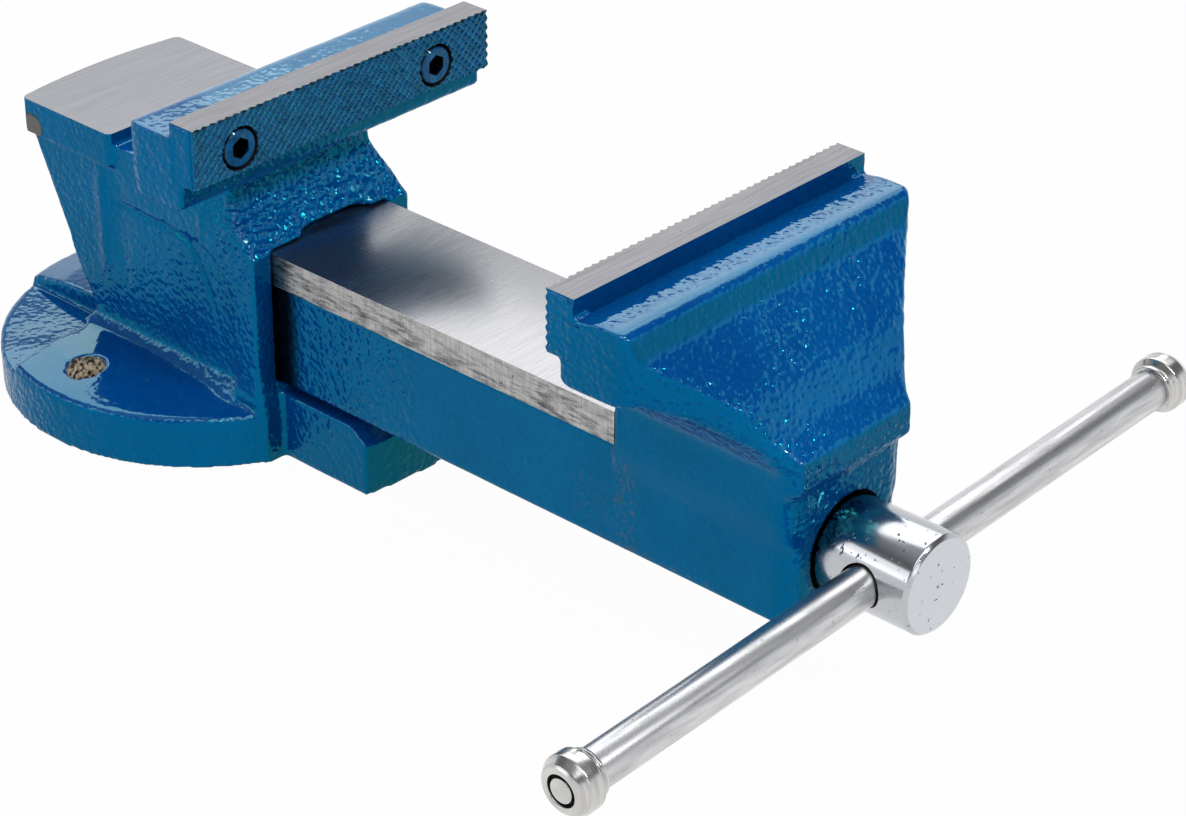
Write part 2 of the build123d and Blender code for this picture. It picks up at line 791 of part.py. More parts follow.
def spindle_spring():
    """The coil spring that draws the screw's head back against the nose."""
    rise = spring_length - 2 * spring_wire_radius
    start_y = nose_inner_y + seat_gap + spring_wire_radius
    path = Helix(
        pitch=rise / spring_turns,
        height=rise,
        radius=spring_coil_radius,
        center=(0, start_y, screw_axis_height),
        direction=(0, 1, 0),
    )
    section = Plane(origin=path @ 0, z_dir=path % 0) * Circle(spring_wire_radius)
    return sweep(section, path=path, is_frenet=True)


def spindle_retainer():
    """The washer that closes the spring in."""
    bore = thread_radius + washer_bore_clearance
    rear = retainer_y + retainer_thickness
    return ring_y(retainer_radius, bore, retainer_y, rear)


def retainer_pin():
    """The slotted spring pin through the screw behind the retainer."""
    half = retainer_pin_length / 2
    pin = rod_x(retainer_pin_radius, -half, half, retainer_pin_y, screw_axis_height)
    pin -= rod_x(retainer_pin_bore, -half - 1, half + 1, retainer_pin_y, screw_axis_height)
    slot = retainer_pin_slot / 2
    pin -= block(
        -half - 1,
        half + 1,
        retainer_pin_y,
        retainer_pin_y + 2 * retainer_pin_radius,
        screw_axis_height - slot,
        screw_axis_height + slot,
    )
    return with_handle(pin)


# ---------------------------------------------------------------- spindle nut
def spindle_nut():
    """The nut: a foot in the tunnel's floor, and a round boss around the lead screw."""
    nut = block(
        -nut_foot_half_width,
        nut_foot_half_width,
        nut_front_y,
        nut_rear_y,
        nut_foot_bottom,
        nut_foot_bottom + nut_foot_height,
    )
    nut += block(
        -nut_radius, nut_radius, nut_front_y, nut_rear_y, nut_foot_bottom, screw_axis_height
    )
    nut += rod_y(nut_radius, nut_front_y, nut_rear_y, 0, screw_axis_height)
    bore = thread_radius + nut_bore_clearance
    nut -= rod_y(bore, nut_front_y - 1, nut_rear_y + 1, 0, screw_axis_height)
    tapped = nut_bolt_radius + thread_clearance
    hole_top = nut_foot_bottom + nut_bolt_reach + 1
    return nut - rod_z(tapped, 0, nut_mid_y, nut_foot_bottom - 1, hole_top)


def nut_flat_washer():
    """The washer on the seat of the nut's bolt."""
    top = nut_bolt_bore_depth
    bore = nut_bolt_radius + nut_bolt_hole_clearance
    return ring_z(flat_washer_radius, bore, 0, nut_mid_y, top - flat_washer_thickness, top)


def nut_lock_washer():
    """The split spring washer under the bolt's head."""
    top = nut_bolt_bore_depth - flat_washer_thickness
    bore = nut_bolt_radius + nut_bolt_hole_clearance
    washer = ring_z(lock_washer_radius, bore, 0, nut_mid_y, top - lock_washer_thickness, top)
    half = lock_washer_slot / 2
    return washer - block(0, far_out, nut_mid_y - half, nut_mid_y + half, 0, top + 1)


def nut_bolt():
    """The hexagon bolt that draws the nut down into the base."""
    head_top = nut_bolt_bore_depth - flat_washer_thickness - lock_washer_thickness
    head_bottom = head_top - nut_bolt_head_height
    plane = Plane(origin=(0, nut_mid_y, head_bottom))
    hexagon = RegularPolygon(nut_bolt_head_flats / 2, 6, major_radius=False)
    head = extrude(plane * hexagon, amount=nut_bolt_head_height)
    tip = nut_foot_bottom + nut_bolt_reach
    return head + rod_z(nut_bolt_radius, 0, nut_mid_y, head_bottom + 1, tip)


# ---------------------------------------------------------------- handle
def handle_bar():
    """The tommy bar with a turned-down tenon at each end."""
    left = -handle_left_reach
    right = handle_right_reach
    points = [
        (left - knob_length, 0),
        (left - knob_length, tenon_radius),
        (left, tenon_radius),
        (left, bar_radius),
        (right, bar_radius),
        (right, tenon_radius),
        (right + knob_length, tenon_radius),
        (right + knob_length, 0),
    ]
    return with_handle(turned_x(points, handle_y, screw_axis_height))


def handle_knob(side, inner):
    """A turned end knob riveted over the bar's tenon; side is -1 on the left."""
    bore = tenon_radius + tenon_clearance
    collar_end = inner + side * knob_collar_length
    end = inner + side * knob_length
    points = [
        (inner, bore),
        (inner, knob_collar_radius - knob_collar_chamfer),
        (inner + side * knob_collar_chamfer, knob_collar_radius),
        (collar_end, knob_collar_radius),
        (collar_end + side * knob_shoulder_length, knob_radius),
        (end - side * knob_chamfer_length, knob_radius),
        (end, knob_face_radius),
        (end, bore + rivet_groove_width),
        (end - side * rivet_groove_depth, bore),
    ]
    return with_handle(turned_x(points, handle_y, screw_axis_height))


# ---------------------------------------------------------------- the assembly
left_x, right_x = plate_screw_places()
pieces = {
    "fixed_jaw_body": fixed_jaw_body(),
    "fixed_jaw_plate": jaw_plate(fixed_face_y, 1),
    "fixed_plate_screw_left": plate_screw(fixed_face_y, 1, left_x),
    "fixed_plate_screw_right": plate_screw(fixed_face_y, 1, right_x),
    "sliding_jaw": sliding_jaw(),
    "sliding_jaw_plate": jaw_plate(sliding_face_y, -1),
    "sliding_plate_screw_left": plate_screw(sliding_face_y, -1, left_x),
    "sliding_plate_screw_right": plate_screw(sliding_face_y, -1, right_x),
    "spindle": spindle(),
    "thrust_washer": thrust_washer(),
    "spindle_spring": spindle_spring(),
    "spindle_retainer": spindle_retainer(),
    "retainer_pin": retainer_pin(),
    "spindle_nut": spindle_nut(),
    "nut_flat_washer": nut_flat_washer(),
    "nut_lock_washer": nut_lock_washer(),
    "nut_bolt": nut_bolt(),
    "handle_bar": handle_bar(),
    "handle_knob_left": handle_knob(-1, -handle_left_reach),
    "handle_knob_right": handle_knob(1, handle_right_reach),
}

for name, shape in pieces.items():
    export_step(shape, f"parts/{name}.step")
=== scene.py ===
import math

import bmesh
import bpy
import numpy as np
from mathutils import Matrix, Vector, noise


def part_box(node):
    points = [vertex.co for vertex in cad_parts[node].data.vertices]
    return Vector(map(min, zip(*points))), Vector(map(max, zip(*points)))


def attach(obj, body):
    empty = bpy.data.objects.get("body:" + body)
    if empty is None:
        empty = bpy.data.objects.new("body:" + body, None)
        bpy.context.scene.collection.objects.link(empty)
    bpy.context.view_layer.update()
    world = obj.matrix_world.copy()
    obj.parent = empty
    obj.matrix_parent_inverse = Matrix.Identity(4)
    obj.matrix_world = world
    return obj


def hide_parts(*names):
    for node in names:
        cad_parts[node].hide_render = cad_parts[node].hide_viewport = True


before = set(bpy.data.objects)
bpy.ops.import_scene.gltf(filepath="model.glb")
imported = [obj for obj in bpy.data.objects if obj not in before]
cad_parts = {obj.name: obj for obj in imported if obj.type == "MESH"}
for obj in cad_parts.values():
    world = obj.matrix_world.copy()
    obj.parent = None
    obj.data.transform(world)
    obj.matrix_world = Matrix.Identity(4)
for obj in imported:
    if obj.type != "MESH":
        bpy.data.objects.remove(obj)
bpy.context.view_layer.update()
MM = 0.001

# The vise's own places, in metres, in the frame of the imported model.
fixed_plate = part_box("fixed_jaw_plate")
sliding_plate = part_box("sliding_jaw_plate")
spindle_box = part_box("spindle")
AXIS_Z = 35.1 * MM                # the lead screw's height
HANDLE_Y = -228.5 * MM            # the tommy bar crosses the screw's head here
TILT = math.radians(2.2)          # and leans this much from level
SLIDE_HALF = 20.3 * MM            # half the width of the milled strip on the beam
SLIDE_TOP = 57.0 * MM
LAND_BOTTOM = 48.4 * MM           # its lower edge
SHOULDER_Y = -162.5 * MM          # its front end
LAND_END = 12 * MM                # its rear end
RECESS_RADIUS = 13.05 * MM        # the hollow in the nose round the screw
ANVIL_TOP = 74.5 * MM
BOLT_X = 43.0 * MM
BOLT_RADIUS = 5.3 * MM
MIDDLE_Y = -111.9 * MM            # half way between the jaws
GRIP_FACE = 56.6 * MM             # from there to the plates' gripping faces
HEAD_FACE = 57.0 * MM             # from there to the heads of the plate screws
SCREW_Z = 93.1 * MM               # the plate screws' height
SCREW_OFFSET = 33.0 * MM          # from half way between a pair of them to each
SCREW_MIDDLE_X = -1.6 * MM

# Colours of the blue paint, of what lies on it, and of the shade, sheen and glints painted on it.
PAINT_DEEP = (0.0, 0.055, 0.25)
PAINT_LIGHT = (0.0, 0.08, 0.31)
PAINT_DARK = (0.0, 0.035, 0.19)
PAINT_FLAKE_GLINT = (0.03, 0.22, 0.40)
PAINT_PALE_SHEEN = (0.125, 0.29, 0.48)
PAINT_SHADED = (0.0, 0.004, 0.012)
SCUFF = (0.13, 0.06, 0.085)
# Painted shade for the beam where it enters the body.
GAP_SHADE = (0.002, 0.003, 0.006)
# The paint mirrors blue and hardly any red: its plain reflection is weak, and a tint raises it.
PAINT_IOR = 1.12
COAT_ROUGHNESS = 0.06


# ---------------------------------------------------------------- shader building
class Shader:
    """A material whose nodes are added one call at a time; values may be sockets."""

    def __init__(self, name):
        self.material = bpy.data.materials.new(name)
        self.material.use_nodes = True
        self.tree = self.material.node_tree
        self.tree.nodes.clear()
        self.out = self.tree.nodes.new("ShaderNodeOutputMaterial")
        self.place = self.node("TexCoord").outputs["Object"]

    def node(self, kind, props=None, **values):
        """A new node with its properties and its inputs, named with _ in place of spaces."""
        made = self.tree.nodes.new("ShaderNode" + kind)
        for key, value in (props or {}).items():
            setattr(made, key, value)
        for key, value in values.items():
            self.put(made.inputs[key.replace("_", " ")], value)
        return made

    def put(self, socket, value):
        if isinstance(value, bpy.types.NodeSocket):
            self.tree.links.new(value, socket)
        elif isinstance(value, (tuple, list)) and len(value) == 3 and socket.type == "RGBA":
            socket.default_value = (*value, 1)
        else:
            socket.default_value = value

    def math(self, operation, *values):
        made = self.node("Math", {"operation": operation})
        for index, value in enumerate(values):
            self.put(made.inputs[index], value)
        return made.outputs[0]

    def times(self, a, b):
        return self.math("MULTIPLY", a, b)

    def mix(self, factor, a, b):
        made = self.node("Mix", {"data_type": "RGBA"})
        for index, value in ((0, factor), (6, a), (7, b)):
            self.put(made.inputs[index], value)
        return made.outputs[2]

    def step(self, value, low, high, to_low=0.0, to_high=1.0):
        """value mapped smoothly from low..high to to_low..to_high."""
        made = self.node("MapRange", {"interpolation_type": "SMOOTHSTEP"})
        for index, item in enumerate((value, low, high, to_low, to_high)):
            self.put(made.inputs[index], item)
        return made.outputs[0]

    def axes(self):
        """The three coordinates of a place on the surface."""
        return self.node("SeparateXYZ", Vector=self.place).outputs

    def facing(self):
        """How far the surface faces right, back and up."""
        normal = self.node("NewGeometry").outputs["Normal"]
        return self.node("SeparateXYZ", Vector=normal).outputs

    def stretched(self, sx, sy, sz, turn=(0, 0, 0)):
        """The place with each axis scaled by itself, for noise that makes lines."""
        made = self.node("Mapping", Vector=self.place, Scale=(sx, sy, sz), Rotation=turn)
        return made.outputs[0]

    def noise(self, scale, detail=2.0, rough=0.5, vector=None):
        """Soft noise with about scale waves in a metre."""
        where = vector or self.place
        made = self.node("TexNoise", Vector=where, Scale=scale, Detail=detail, Roughness=rough)
        return made.outputs[0]

    def cells(self, scale, vector=None, smooth=None):
        """The distance from the middle of the nearest cell; smooth blends the cells."""
        feature = "F1" if smooth is None else "SMOOTH_F1"
        where = vector or self.place
        made = self.node("TexVoronoi", {"feature": feature}, Vector=where, Scale=scale)
        if smooth is not None:
            made.inputs["Smoothness"].default_value = smooth
        return made.outputs["Distance"]

    def spot(self, x, y, z, radius):
        """A mask that is 1 round a point (in mm) and has a ragged edge."""
        centre = self.node("VectorMath", {"operation": "DISTANCE"})
        self.put(centre.inputs[0], self.place)
        self.put(centre.inputs[1], (x * MM, y * MM, z * MM))
        ragged = 0.35 * radius * MM
        wobble = self.math("MULTIPLY_ADD", self.noise(900.0, 3), 2 * ragged, -ragged)
        distance = self.math("ADD", centre.outputs["Value"], wobble)
        return self.step(distance, radius * MM * 1.06, radius * MM * 0.94)

    def zone(self, low, high, soft):
        """A mask that is 1 between two corners (in mm) and fades over soft mm outside them."""
        mask = 1.0
        for axis, value in enumerate(self.axes()):
            rise = self.step(value, (low[axis] - soft) * MM, low[axis] * MM)
            fall = self.step(value, high[axis] * MM, (high[axis] + soft) * MM, 1.0, 0.0)
            mask = self.times(mask, self.times(rise, fall))
        return mask

    def bump(self, height, depth_mm, below=None):
        made = self.node("Bump", Height=height, Distance=depth_mm * MM, Strength=1.0)
        if below is not None:
            self.put(made.inputs["Normal"], below)
        return made.outputs[0]

    def surface(self, **values):
        made = self.node("BsdfPrincipled", **values)
        self.tree.links.new(made.outputs[0], self.out.inputs[0])
        return self.material


def shaded(tone, share):
    """A colour with every part multiplied by share."""
    return tuple(share * c for c in tone)


# ---------------------------------------------------------------- materials
def peel(s, depth, calm, coarse):
    """The normal of hammered paint: pebbles about 1 mm across over slower ripples.

    It is nearly level where the surface faces up. calm multiplies it and coarse adds to it;
    both are masks or None.
    """
    drift = s.node("TexNoise", Vector=s.place, Scale=420.0, Detail=1.0).outputs["Color"]
    warp = s.node("VectorMath", {"operation": "MULTIPLY_ADD"})
    for index, value in enumerate((drift, (0.9 * MM,) * 3, s.place)):
        s.put(warp.inputs[index], value)
    pebble = s.cells(660.0, warp.outputs[0], 0.8)
    ripple = s.noise(260.0)
    amount = s.step(s.noise(40.0), 0.38, 0.62, 0.6, 1.0)
    amount = s.times(amount, s.step(s.facing()[2], 0.75, 0.94, 1.0, 0.11))
    if calm is not None:
        amount = s.times(amount, calm)
    if coarse is not None:
        amount = s.math("ADD", amount, coarse)
    pebbled = s.bump(s.times(s.times(pebble, amount), -1.0), 0.36 * depth)
    return s.bump(s.times(ripple, amount), 0.34 * depth, pebbled)


def coat_mask(s, side, front, up):
    """Where a clear coat lies: on top, on edges towards the left and, thinly, on front slopes."""
    top = s.step(up, 0.74, 0.93)
    corner = s.times(s.step(up, 0.45, 0.58), s.step(side, -0.08, -0.18))
    slope = s.times(s.step(up, 0.4, 0.52), s.step(front, -0.42, -0.55, 0.0, 0.16))
    return s.times(s.math("MAXIMUM", s.math("MAXIMUM", top, corner), slope), 0.8)


def blue_paint(name, depth, marks=(), stains=(), calm=None, gap=None, coarse=None, pale=None):
    """Hammered blue paint with relief of a given depth.

    marks are worn spots and spots of painted shade: (x, y, z and radius in mm), colour, strength.
    stains are brown scuffed strips: two corners in mm and a strength. The rest are zones, each two
    corners in mm and the width of its soft edge: the relief is low in calm and stronger in coarse, which
    has a strength as well, gap is painted shade where the beam enters the body, and paint that faces up
    in pale is lighter, a painted sheen.
    """
    s = Shader(name)
    colour = s.mix(s.step(s.noise(30.0, 3.0), 0.3, 0.7), PAINT_DEEP, PAINT_LIGHT)
    colour = s.mix(s.step(s.cells(950.0), 0.15, 0.75, 0.0, 0.35), colour, PAINT_DARK)
    # Light specks: flakes in the paint, and painted glints where the pebbles catch the light.
    flake_glint = s.times(s.step(s.noise(1300.0), 0.66, 0.76), 0.35)
    colour = s.mix(flake_glint, colour, PAINT_FLAKE_GLINT)
    rough = s.step(s.noise(420.0), 0.3, 0.7, 0.05, 0.11)
    for place, shade, strength in marks:
        mask = s.times(s.spot(*place), strength)
        colour = s.mix(mask, colour, shade)
        rough = s.math("MULTIPLY_ADD", mask, 0.45, rough)
    for low, high, strength in stains:
        ragged = s.step(s.noise(700.0, 4.0, 0.7), 0.5, 0.66)
        scuff = s.times(s.times(s.zone(low, high, 2.0), ragged), strength)
        colour = s.mix(scuff, colour, SCUFF)
        rough = s.math("MULTIPLY_ADD", scuff, 0.4, rough)
    side, front, up = s.facing()
    # Painted shade: paint that faces the front, towards the handle, is made darker.
    colour = s.mix(s.step(front, -0.85, -0.98, 0.0, 0.42), colour, PAINT_SHADED)
    # Painted sheen: paint that faces up in the pale zone is made lighter.
    if pale is not None:
        painted_sheen = s.times(s.zone(*pale), s.step(up, 0.74, 0.93, 0.0, 0.6))
        colour = s.mix(painted_sheen, colour, PAINT_PALE_SHEEN)
    # Painted shade: the beam where it enters the body is made near black, rougher and metallic, so that
    # it reflects little.
    beam_shade = 0.0
    if gap is not None:
        beam_shade = s.zone(*gap)
        colour = s.mix(s.times(beam_shade, 0.98), colour, GAP_SHADE)
        rough = s.math("MULTIPLY_ADD", beam_shade, 0.5, rough)
    if calm is not None:
        calm = s.math("SUBTRACT", 1.0, s.times(s.zone(*calm), 0.78))
    if coarse is not None:
        *box, strength = coarse
        coarse = s.times(s.zone(*box), strength)
    return s.surface(
        Base_Color=colour,
        Roughness=rough,
        Metallic=beam_shade,
        IOR=PAINT_IOR,
        Specular_Tint=(0.35, 19.7, 18.5),
        Coat_Weight=coat_mask(s, side, front, up),
        Coat_IOR=1.5,
        Coat_Roughness=COAT_ROUGHNESS,
        Normal=peel(s, depth, calm, coarse),
        Coat_Normal=peel(s, depth * 0.8, calm, coarse),
    )


def ground_steel(name, tone, across, rough, flecks, contrast=0.1, spread=0.7, lie=(1, 0, 0), dark_patches=()):
    """Machined steel with dark flecks and fine slanting scratches.

    across stretches the grinding marks, which run along lie. spread is how far a light is
    drawn out over them. The row of dark patches gives soft, streaky darker zones: two corners in mm and
    a strength each.
    """
    s = Shader(name)
    line = s.noise(1.0, 3.0, 0.6, s.stretched(*across))
    fine = s.noise(1.0, 1.0, 0.5, s.stretched(*shaded(across, 2.3)))
    marks = s.math("ADD", s.times(line, 0.5), s.times(fine, 0.5))
    light = tuple(min(1.0, part) for part in shaded(tone, 1 + contrast))
    colour = s.mix(s.step(marks, 0.35, 0.65), shaded(tone, 1 - contrast), light)
    slanting = s.stretched(30, 1500, 1500, (0, 0, 0.5))
    scratch = s.step(s.noise(1.0, 2.0, 0.5, slanting), 0.70, 0.76)
    colour = s.mix(s.times(scratch, 0.45), colour, shaded(tone, 0.45))
    for low, high, strength in dark_patches:
        streaky = s.noise(1.0, 5.0, 0.7, s.stretched(600, 160, 900))
        cloud = s.times(s.zone(low, high, 6.0), s.step(streaky, 0.4, 0.72))
        colour = s.mix(s.times(cloud, strength), colour, (0.05, 0.06, 0.075))
    fleck = s.step(s.noise(800.0, 2.0, 0.6), 0.70, 0.75)
    colour = s.mix(s.times(fleck, flecks), colour, (0.02, 0.022, 0.03))
    along = s.node("CombineXYZ", X=float(lie[0]), Y=float(lie[1]), Z=float(lie[2])).outputs[0]
    return s.surface(
        Base_Color=colour,
        Metallic=0.98,
        Roughness=s.step(marks, 0.3, 0.7, rough + 0.05, rough - 0.03),
        Anisotropic=spread,
        Tangent=along,
        Normal=s.bump(marks, 0.006),
    )


def knurl_paint(name):
    """Dark paint on the knurl, lighter in the grooves as a painted highlight, with worn specks."""
    s = Shader(name)
    _, along, high = s.axes()
    colour = s.mix(s.step(s.noise(300.0, 3.0), 0.35, 0.7), (0.0, 0.01, 0.08), (0.0, 0.032, 0.15))
    from_middle = s.math("ABSOLUTE", s.math("SUBTRACT", along, MIDDLE_Y))
    depth = s.math("SUBTRACT", from_middle, GRIP_FACE)
    patchy = s.step(s.noise(650.0), 0.38, 0.62, 0.25, 1.0)
    # Painted highlight: the knurl's grooves are made lighter.
    groove_highlight = s.times(s.step(depth, 0.46 * MM, 0.62 * MM), patchy)
    colour = s.mix(groove_highlight, colour, (0.012, 0.14, 0.34))
    worn = s.times(s.step(s.noise(900.0, 3.0), 0.66, 0.74), 0.6)
    brim = s.step(high, 101.4 * MM, 102.2 * MM)
    brim = s.times(brim, s.step(s.noise(420.0, 3.0), 0.45, 0.52))
    black = s.math("MAXIMUM", worn, brim)
    return s.surface(
        Base_Color=s.mix(black, colour, (0.004, 0.007, 0.012)),
        Roughness=0.1,
        Metallic=s.times(black, 0.8),
        IOR=PAINT_IOR,
        Specular_Tint=(0.0, 17.0, 18.5),
        Coat_Weight=0.22,
        Coat_Roughness=COAT_ROUGHNESS,
        Normal=s.bump(s.noise(900.0), 0.08),
    )


def screw_paint(name):
    """Blue paint on the plate screws, with painted shade: black sockets and rims."""
    s = Shader(name)
    x, y, z = s.axes()
    from_middle = s.math("ABSOLUTE", s.math("SUBTRACT", x, SCREW_MIDDLE_X))
    across = s.math("SUBTRACT", from_middle, SCREW_OFFSET)
    up = s.math("SUBTRACT", z, SCREW_Z)
    squares = s.math("ADD", s.math("POWER", across, 2.0), s.math("POWER", up, 2.0))
    radius = s.math("SQRT", squares)
    above_head = s.math("SUBTRACT", HEAD_FACE, s.math("ABSOLUTE", s.math("SUBTRACT", y, MIDDLE_Y)))
    inside_head = s.step(above_head, -0.1 * MM, -0.5 * MM)
    # Painted shade: the hex sockets and a ring at each head's rim are made black and metallic.
    socket = s.times(s.step(radius, 3.0 * MM, 2.7 * MM), inside_head)
    rim = s.step(radius, 4.7 * MM, 4.85 * MM)
    black = s.math("MAXIMUM", socket, rim)
    tone = s.mix(s.step(s.noise(500.0, 3.0), 0.3, 0.7), (0.0, 0.03, 0.11), (0.0, 0.075, 0.2))
    return s.surface(
        Base_Color=s.mix(black, tone, (0.002, 0.003, 0.005)),
        Roughness=s.math("MULTIPLY_ADD", black, 0.35, 0.14),
        Metallic=black,
        IOR=PAINT_IOR,
        Specular_Tint=(0.0, 8.0, 11.0),
        Coat_Weight=0.3,
        Normal=s.bump(s.noise(420.0), 0.12),
    )


def chrome(name):
    """Chrome of the spindle's head: pits, faint lines and a dark, speckled end by the nose, which is
    overspray and a painted reflection of the blue nose.
    """
    s = Shader(name)
    _, along, high = s.axes()
    pit = s.times(s.step(s.noise(700.0), 0.665, 0.72), s.step(s.noise(60.0), 0.38, 0.52))
    face = s.step(along, -241.4 * MM, -241.45 * MM)
    scratch = s.noise(1.0, 2.0, 0.6, s.stretched(260, 30, 260))
    leaning = s.times(s.math("SUBTRACT", high, AXIS_Z), 0.4)
    ragged = s.math("ADD", leaning, s.times(s.noise(260.0, 3.0), 5 * MM))
    # Overspray and painted reflection: the end by the nose is tinted navy, with dark specks.
    near = s.step(s.math("ADD", along, ragged), -216.5 * MM, -210.5 * MM)
    colour = s.mix(face, (0.5, 0.515, 0.54), (0.62, 0.64, 0.67))
    colour = s.mix(s.times(near, 0.8), colour, (0.03, 0.08, 0.14))
    colour = s.mix(pit, colour, (0.1, 0.1, 0.11))
    speckle = s.times(s.step(s.noise(800.0, 3.0), 0.5, 0.62), near)
    colour = s.mix(speckle, colour, (0.01, 0.02, 0.04))
    relief = s.math("ADD", s.times(pit, -1.0), s.times(scratch, 0.1))
    return s.surface(
        Base_Color=colour,
        Metallic=1.0,
        Roughness=s.math("ADD", s.step(scratch, 0.4, 0.7, 0.14, 0.22), s.times(face, 0.15)),
        Normal=s.bump(relief, 0.05),
    )


def drawn_steel(name, tone, rough, stretch):
    """Drawn or turned bar with fine lines along or round it, and pits."""
    s = Shader(name)
    line = s.noise(1.0, 3.0, 0.6, s.stretched(*stretch))
    pit = s.times(s.step(s.noise(1100.0), 0.68, 0.75), 0.6)
    colour = s.mix(s.step(line, 0.3, 0.7), shaded(tone, 0.7), tone)
    return s.surface(
        Base_Color=s.mix(pit, colour, (0.16, 0.15, 0.15)),
        Metallic=1.0,
        Roughness=s.step(line, 0.3, 0.7, rough + 0.1, rough),
        Normal=s.bump(line, 0.006),
    )


def dull_metal(name, tone, rough, metallic=0.9):
    """Plain metal with a fine uneven grain."""
    s = Shader(name)
    grain = s.noise(900.0, 4.0, 0.7)
    return s.surface(
        Base_Color=s.mix(s.step(grain, 0.35, 0.7), shaded(tone, 0.6), tone),
        Metallic=metallic,
        Roughness=s.step(grain, 0.3, 0.7, rough + 0.15, rough),
        Normal=s.bump(grain, 0.03),
    )


def sand(name, tone, share, dim_from, dim_to):
    """Unpainted cast wall with grains of sand or rust, which darkens between two heights in mm."""
    s = Shader(name)
    high = s.axes()[2]
    grain = s.noise(900.0, 3.0, 0.6)
    colour = s.mix(s.step(grain, share, share + 0.16), (0.008, 0.008, 0.008), tone)
    patchy = s.step(s.noise(500.0), 0.6, 0.5, 0.5, 1.0)
    dim = s.times(s.step(high, dim_from * MM, dim_to * MM), patchy)
    colour = s.mix(s.times(dim, 0.95), colour, (0.006, 0.006, 0.008))
    return s.surface(Base_Color=colour, Roughness=0.85, Normal=s.bump(grain, 0.25))


paint_body = blue_paint(
    "hammered_blue_body",
    depth=1.15,
    marks=(
        ((-26.8, 35.2, 67.0, 4.0), (0.03, 0.03, 0.05), 0.9),
        ((-26.8, 35.2, 67.0, 3.4), (0.19, 0.14, 0.13), 1.0),
        # Painted shade under the left end of the jaw bar, beside the neck.
        ((-33.5, -45.0, 74.5, 5.0), (0.03, 0.045, 0.05), 0.7),
        ((-37.1, -17.1, 16.5, 0.5), (0.03, 0.06, 0.08), 0.9),
    ),
    coarse=((-26, -54, 59), (26, -36, 74), 3, 1.5),
    # pale: a painted sheen on the top of the fixed jaw's bar.
    pale=((-24, -60, 90), (60, -26, 110), 10),
)
paint_jaw = blue_paint(
    "hammered_blue_jaw",
    depth=1.5,
    marks=(((-20.0, -164.0, 34.0, 1.2), (0.04, 0.06, 0.07), 0.5),),
    stains=(
        ((-21, -168, 22), (-19, -163, 44), 0.55),
        ((-21, -192, 19), (-19, -158, 22), 0.75),
        ((-21, -160, 26), (-19, -150, 36), 0.25),
    ),
    calm=((-24, -213, 20), (-18, -100, 60), 6),
    # gap: painted shade on the beam beside the portal.
    gap=((-22, -52, 0), (22, -46, 48), 7),
    coarse=((-52, -186, 96), (52, -169, 104), 2, 0.3),
)
paint_small = blue_paint("hammered_blue_small", depth=0.6)
paint_screw = screw_paint("painted_screw")
steel_anvil = ground_steel(
    "ground_anvil", (0.31, 0.315, 0.335), (30, 1500, 1500), rough=0.4, flecks=0.25, contrast=0.06
)
steel_plate = ground_steel(
    "ground_plate", (0.25, 0.25, 0.265), (45, 1500, 1500), rough=0.42, flecks=0.6, spread=0.5
)
steel_slide_top = ground_steel(
    "milled_slide_top", (0.42, 0.42, 0.435), (50, 1900, 1900), rough=0.28, flecks=0.15, contrast=0.06
)
steel_slide_side = ground_steel(
    "milled_slide_side",
    (0.46, 0.45, 0.44),
    (1500, 1500, 90),
    rough=0.42,
    flecks=0.9,
    contrast=0.16,
    lie=(0, 0, 1),
    dark_patches=(
        # Streaky darker zones: beside the portal, along the lower edge and towards the jaw.
        ((-21, -92, 48), (-19, -50, 54), 0.85),
        ((-21, -160, 48), (-19, -48, 49.5), 0.7),
        ((-21, -170, 48), (-19, -140, 58), 0.55),
        ((-21, -150, 48), (-19, -92, 58), 0.5),
        ((-21, -58, 46), (-19, -48, 60), 0.95),
    ),
)
paint_knurl = knurl_paint("painted_knurl")
chrome_head = chrome("chromed_head")
bar_steel = drawn_steel("drawn_bar", (0.68, 0.68, 0.69), 0.25, (60, 700, 700))
knob_steel = drawn_steel("turned_knob", (0.66, 0.65, 0.63), 0.16, (900, 60, 60))
screw_steel = dull_metal("oiled_screw", (0.32, 0.31, 0.3), 0.3)
zinc = dull_metal("zinc_plate", (0.5, 0.5, 0.52), 0.38)
spring_black = dull_metal("black_spring", (0.09, 0.085, 0.08), 0.35)
nut_iron = dull_metal("machined_iron", (0.2, 0.195, 0.19), 0.45)
# Painted shade: near black for the plates' screw holes and the knobs' grooves.
black_recess_shade = dull_metal("black_recess_shade", (0.006, 0.007, 0.01), 0.6, 0.0)
sand_hole = sand("sandy_hole", (0.8, 0.68, 0.5), 0.4, 12.5, 17.5)
# Rust grains in the nose's recess round the screw head, darkened nearly to black in patches.
near_black_rust = sand("near_black_rust", (0.10, 0.05, 0.025), 0.56, 0.0, 1.0)


# ---------------------------------------------------------------- mesh building
def new_piece(name, mesh, materials, body, slot, *nodes):
    """An object that rides with a body and stands for the named CAD nodes, if any."""
    piece = bpy.data.objects.new(name, mesh)
    bpy.context.scene.collection.objects.link(piece)
    for material in materials:
        mesh.materials.append(material)
    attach(piece, body)
    if nodes:
        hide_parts(*nodes)


def mesh_from(bm, name, smooth_angle=None):
    """The finished mesh, smooth over edges that bend less than an angle in degrees."""
    mesh = bpy.data.meshes.new(name)
    bm.normal_update()
    if smooth_angle is not None:
        limit = math.radians(smooth_angle)
        for face in bm.faces:
            face.smooth = True
        for edge in bm.edges:
            edge.smooth = len(edge.link_faces) == 2 and edge.calc_face_angle(0) < limit
    bm.to_mesh(mesh)
    bm.free()
    return mesh


def only(items, kind):
    """Those of a bmesh operator's results that are of one kind."""
    return [item for item in items if isinstance(item, kind)]


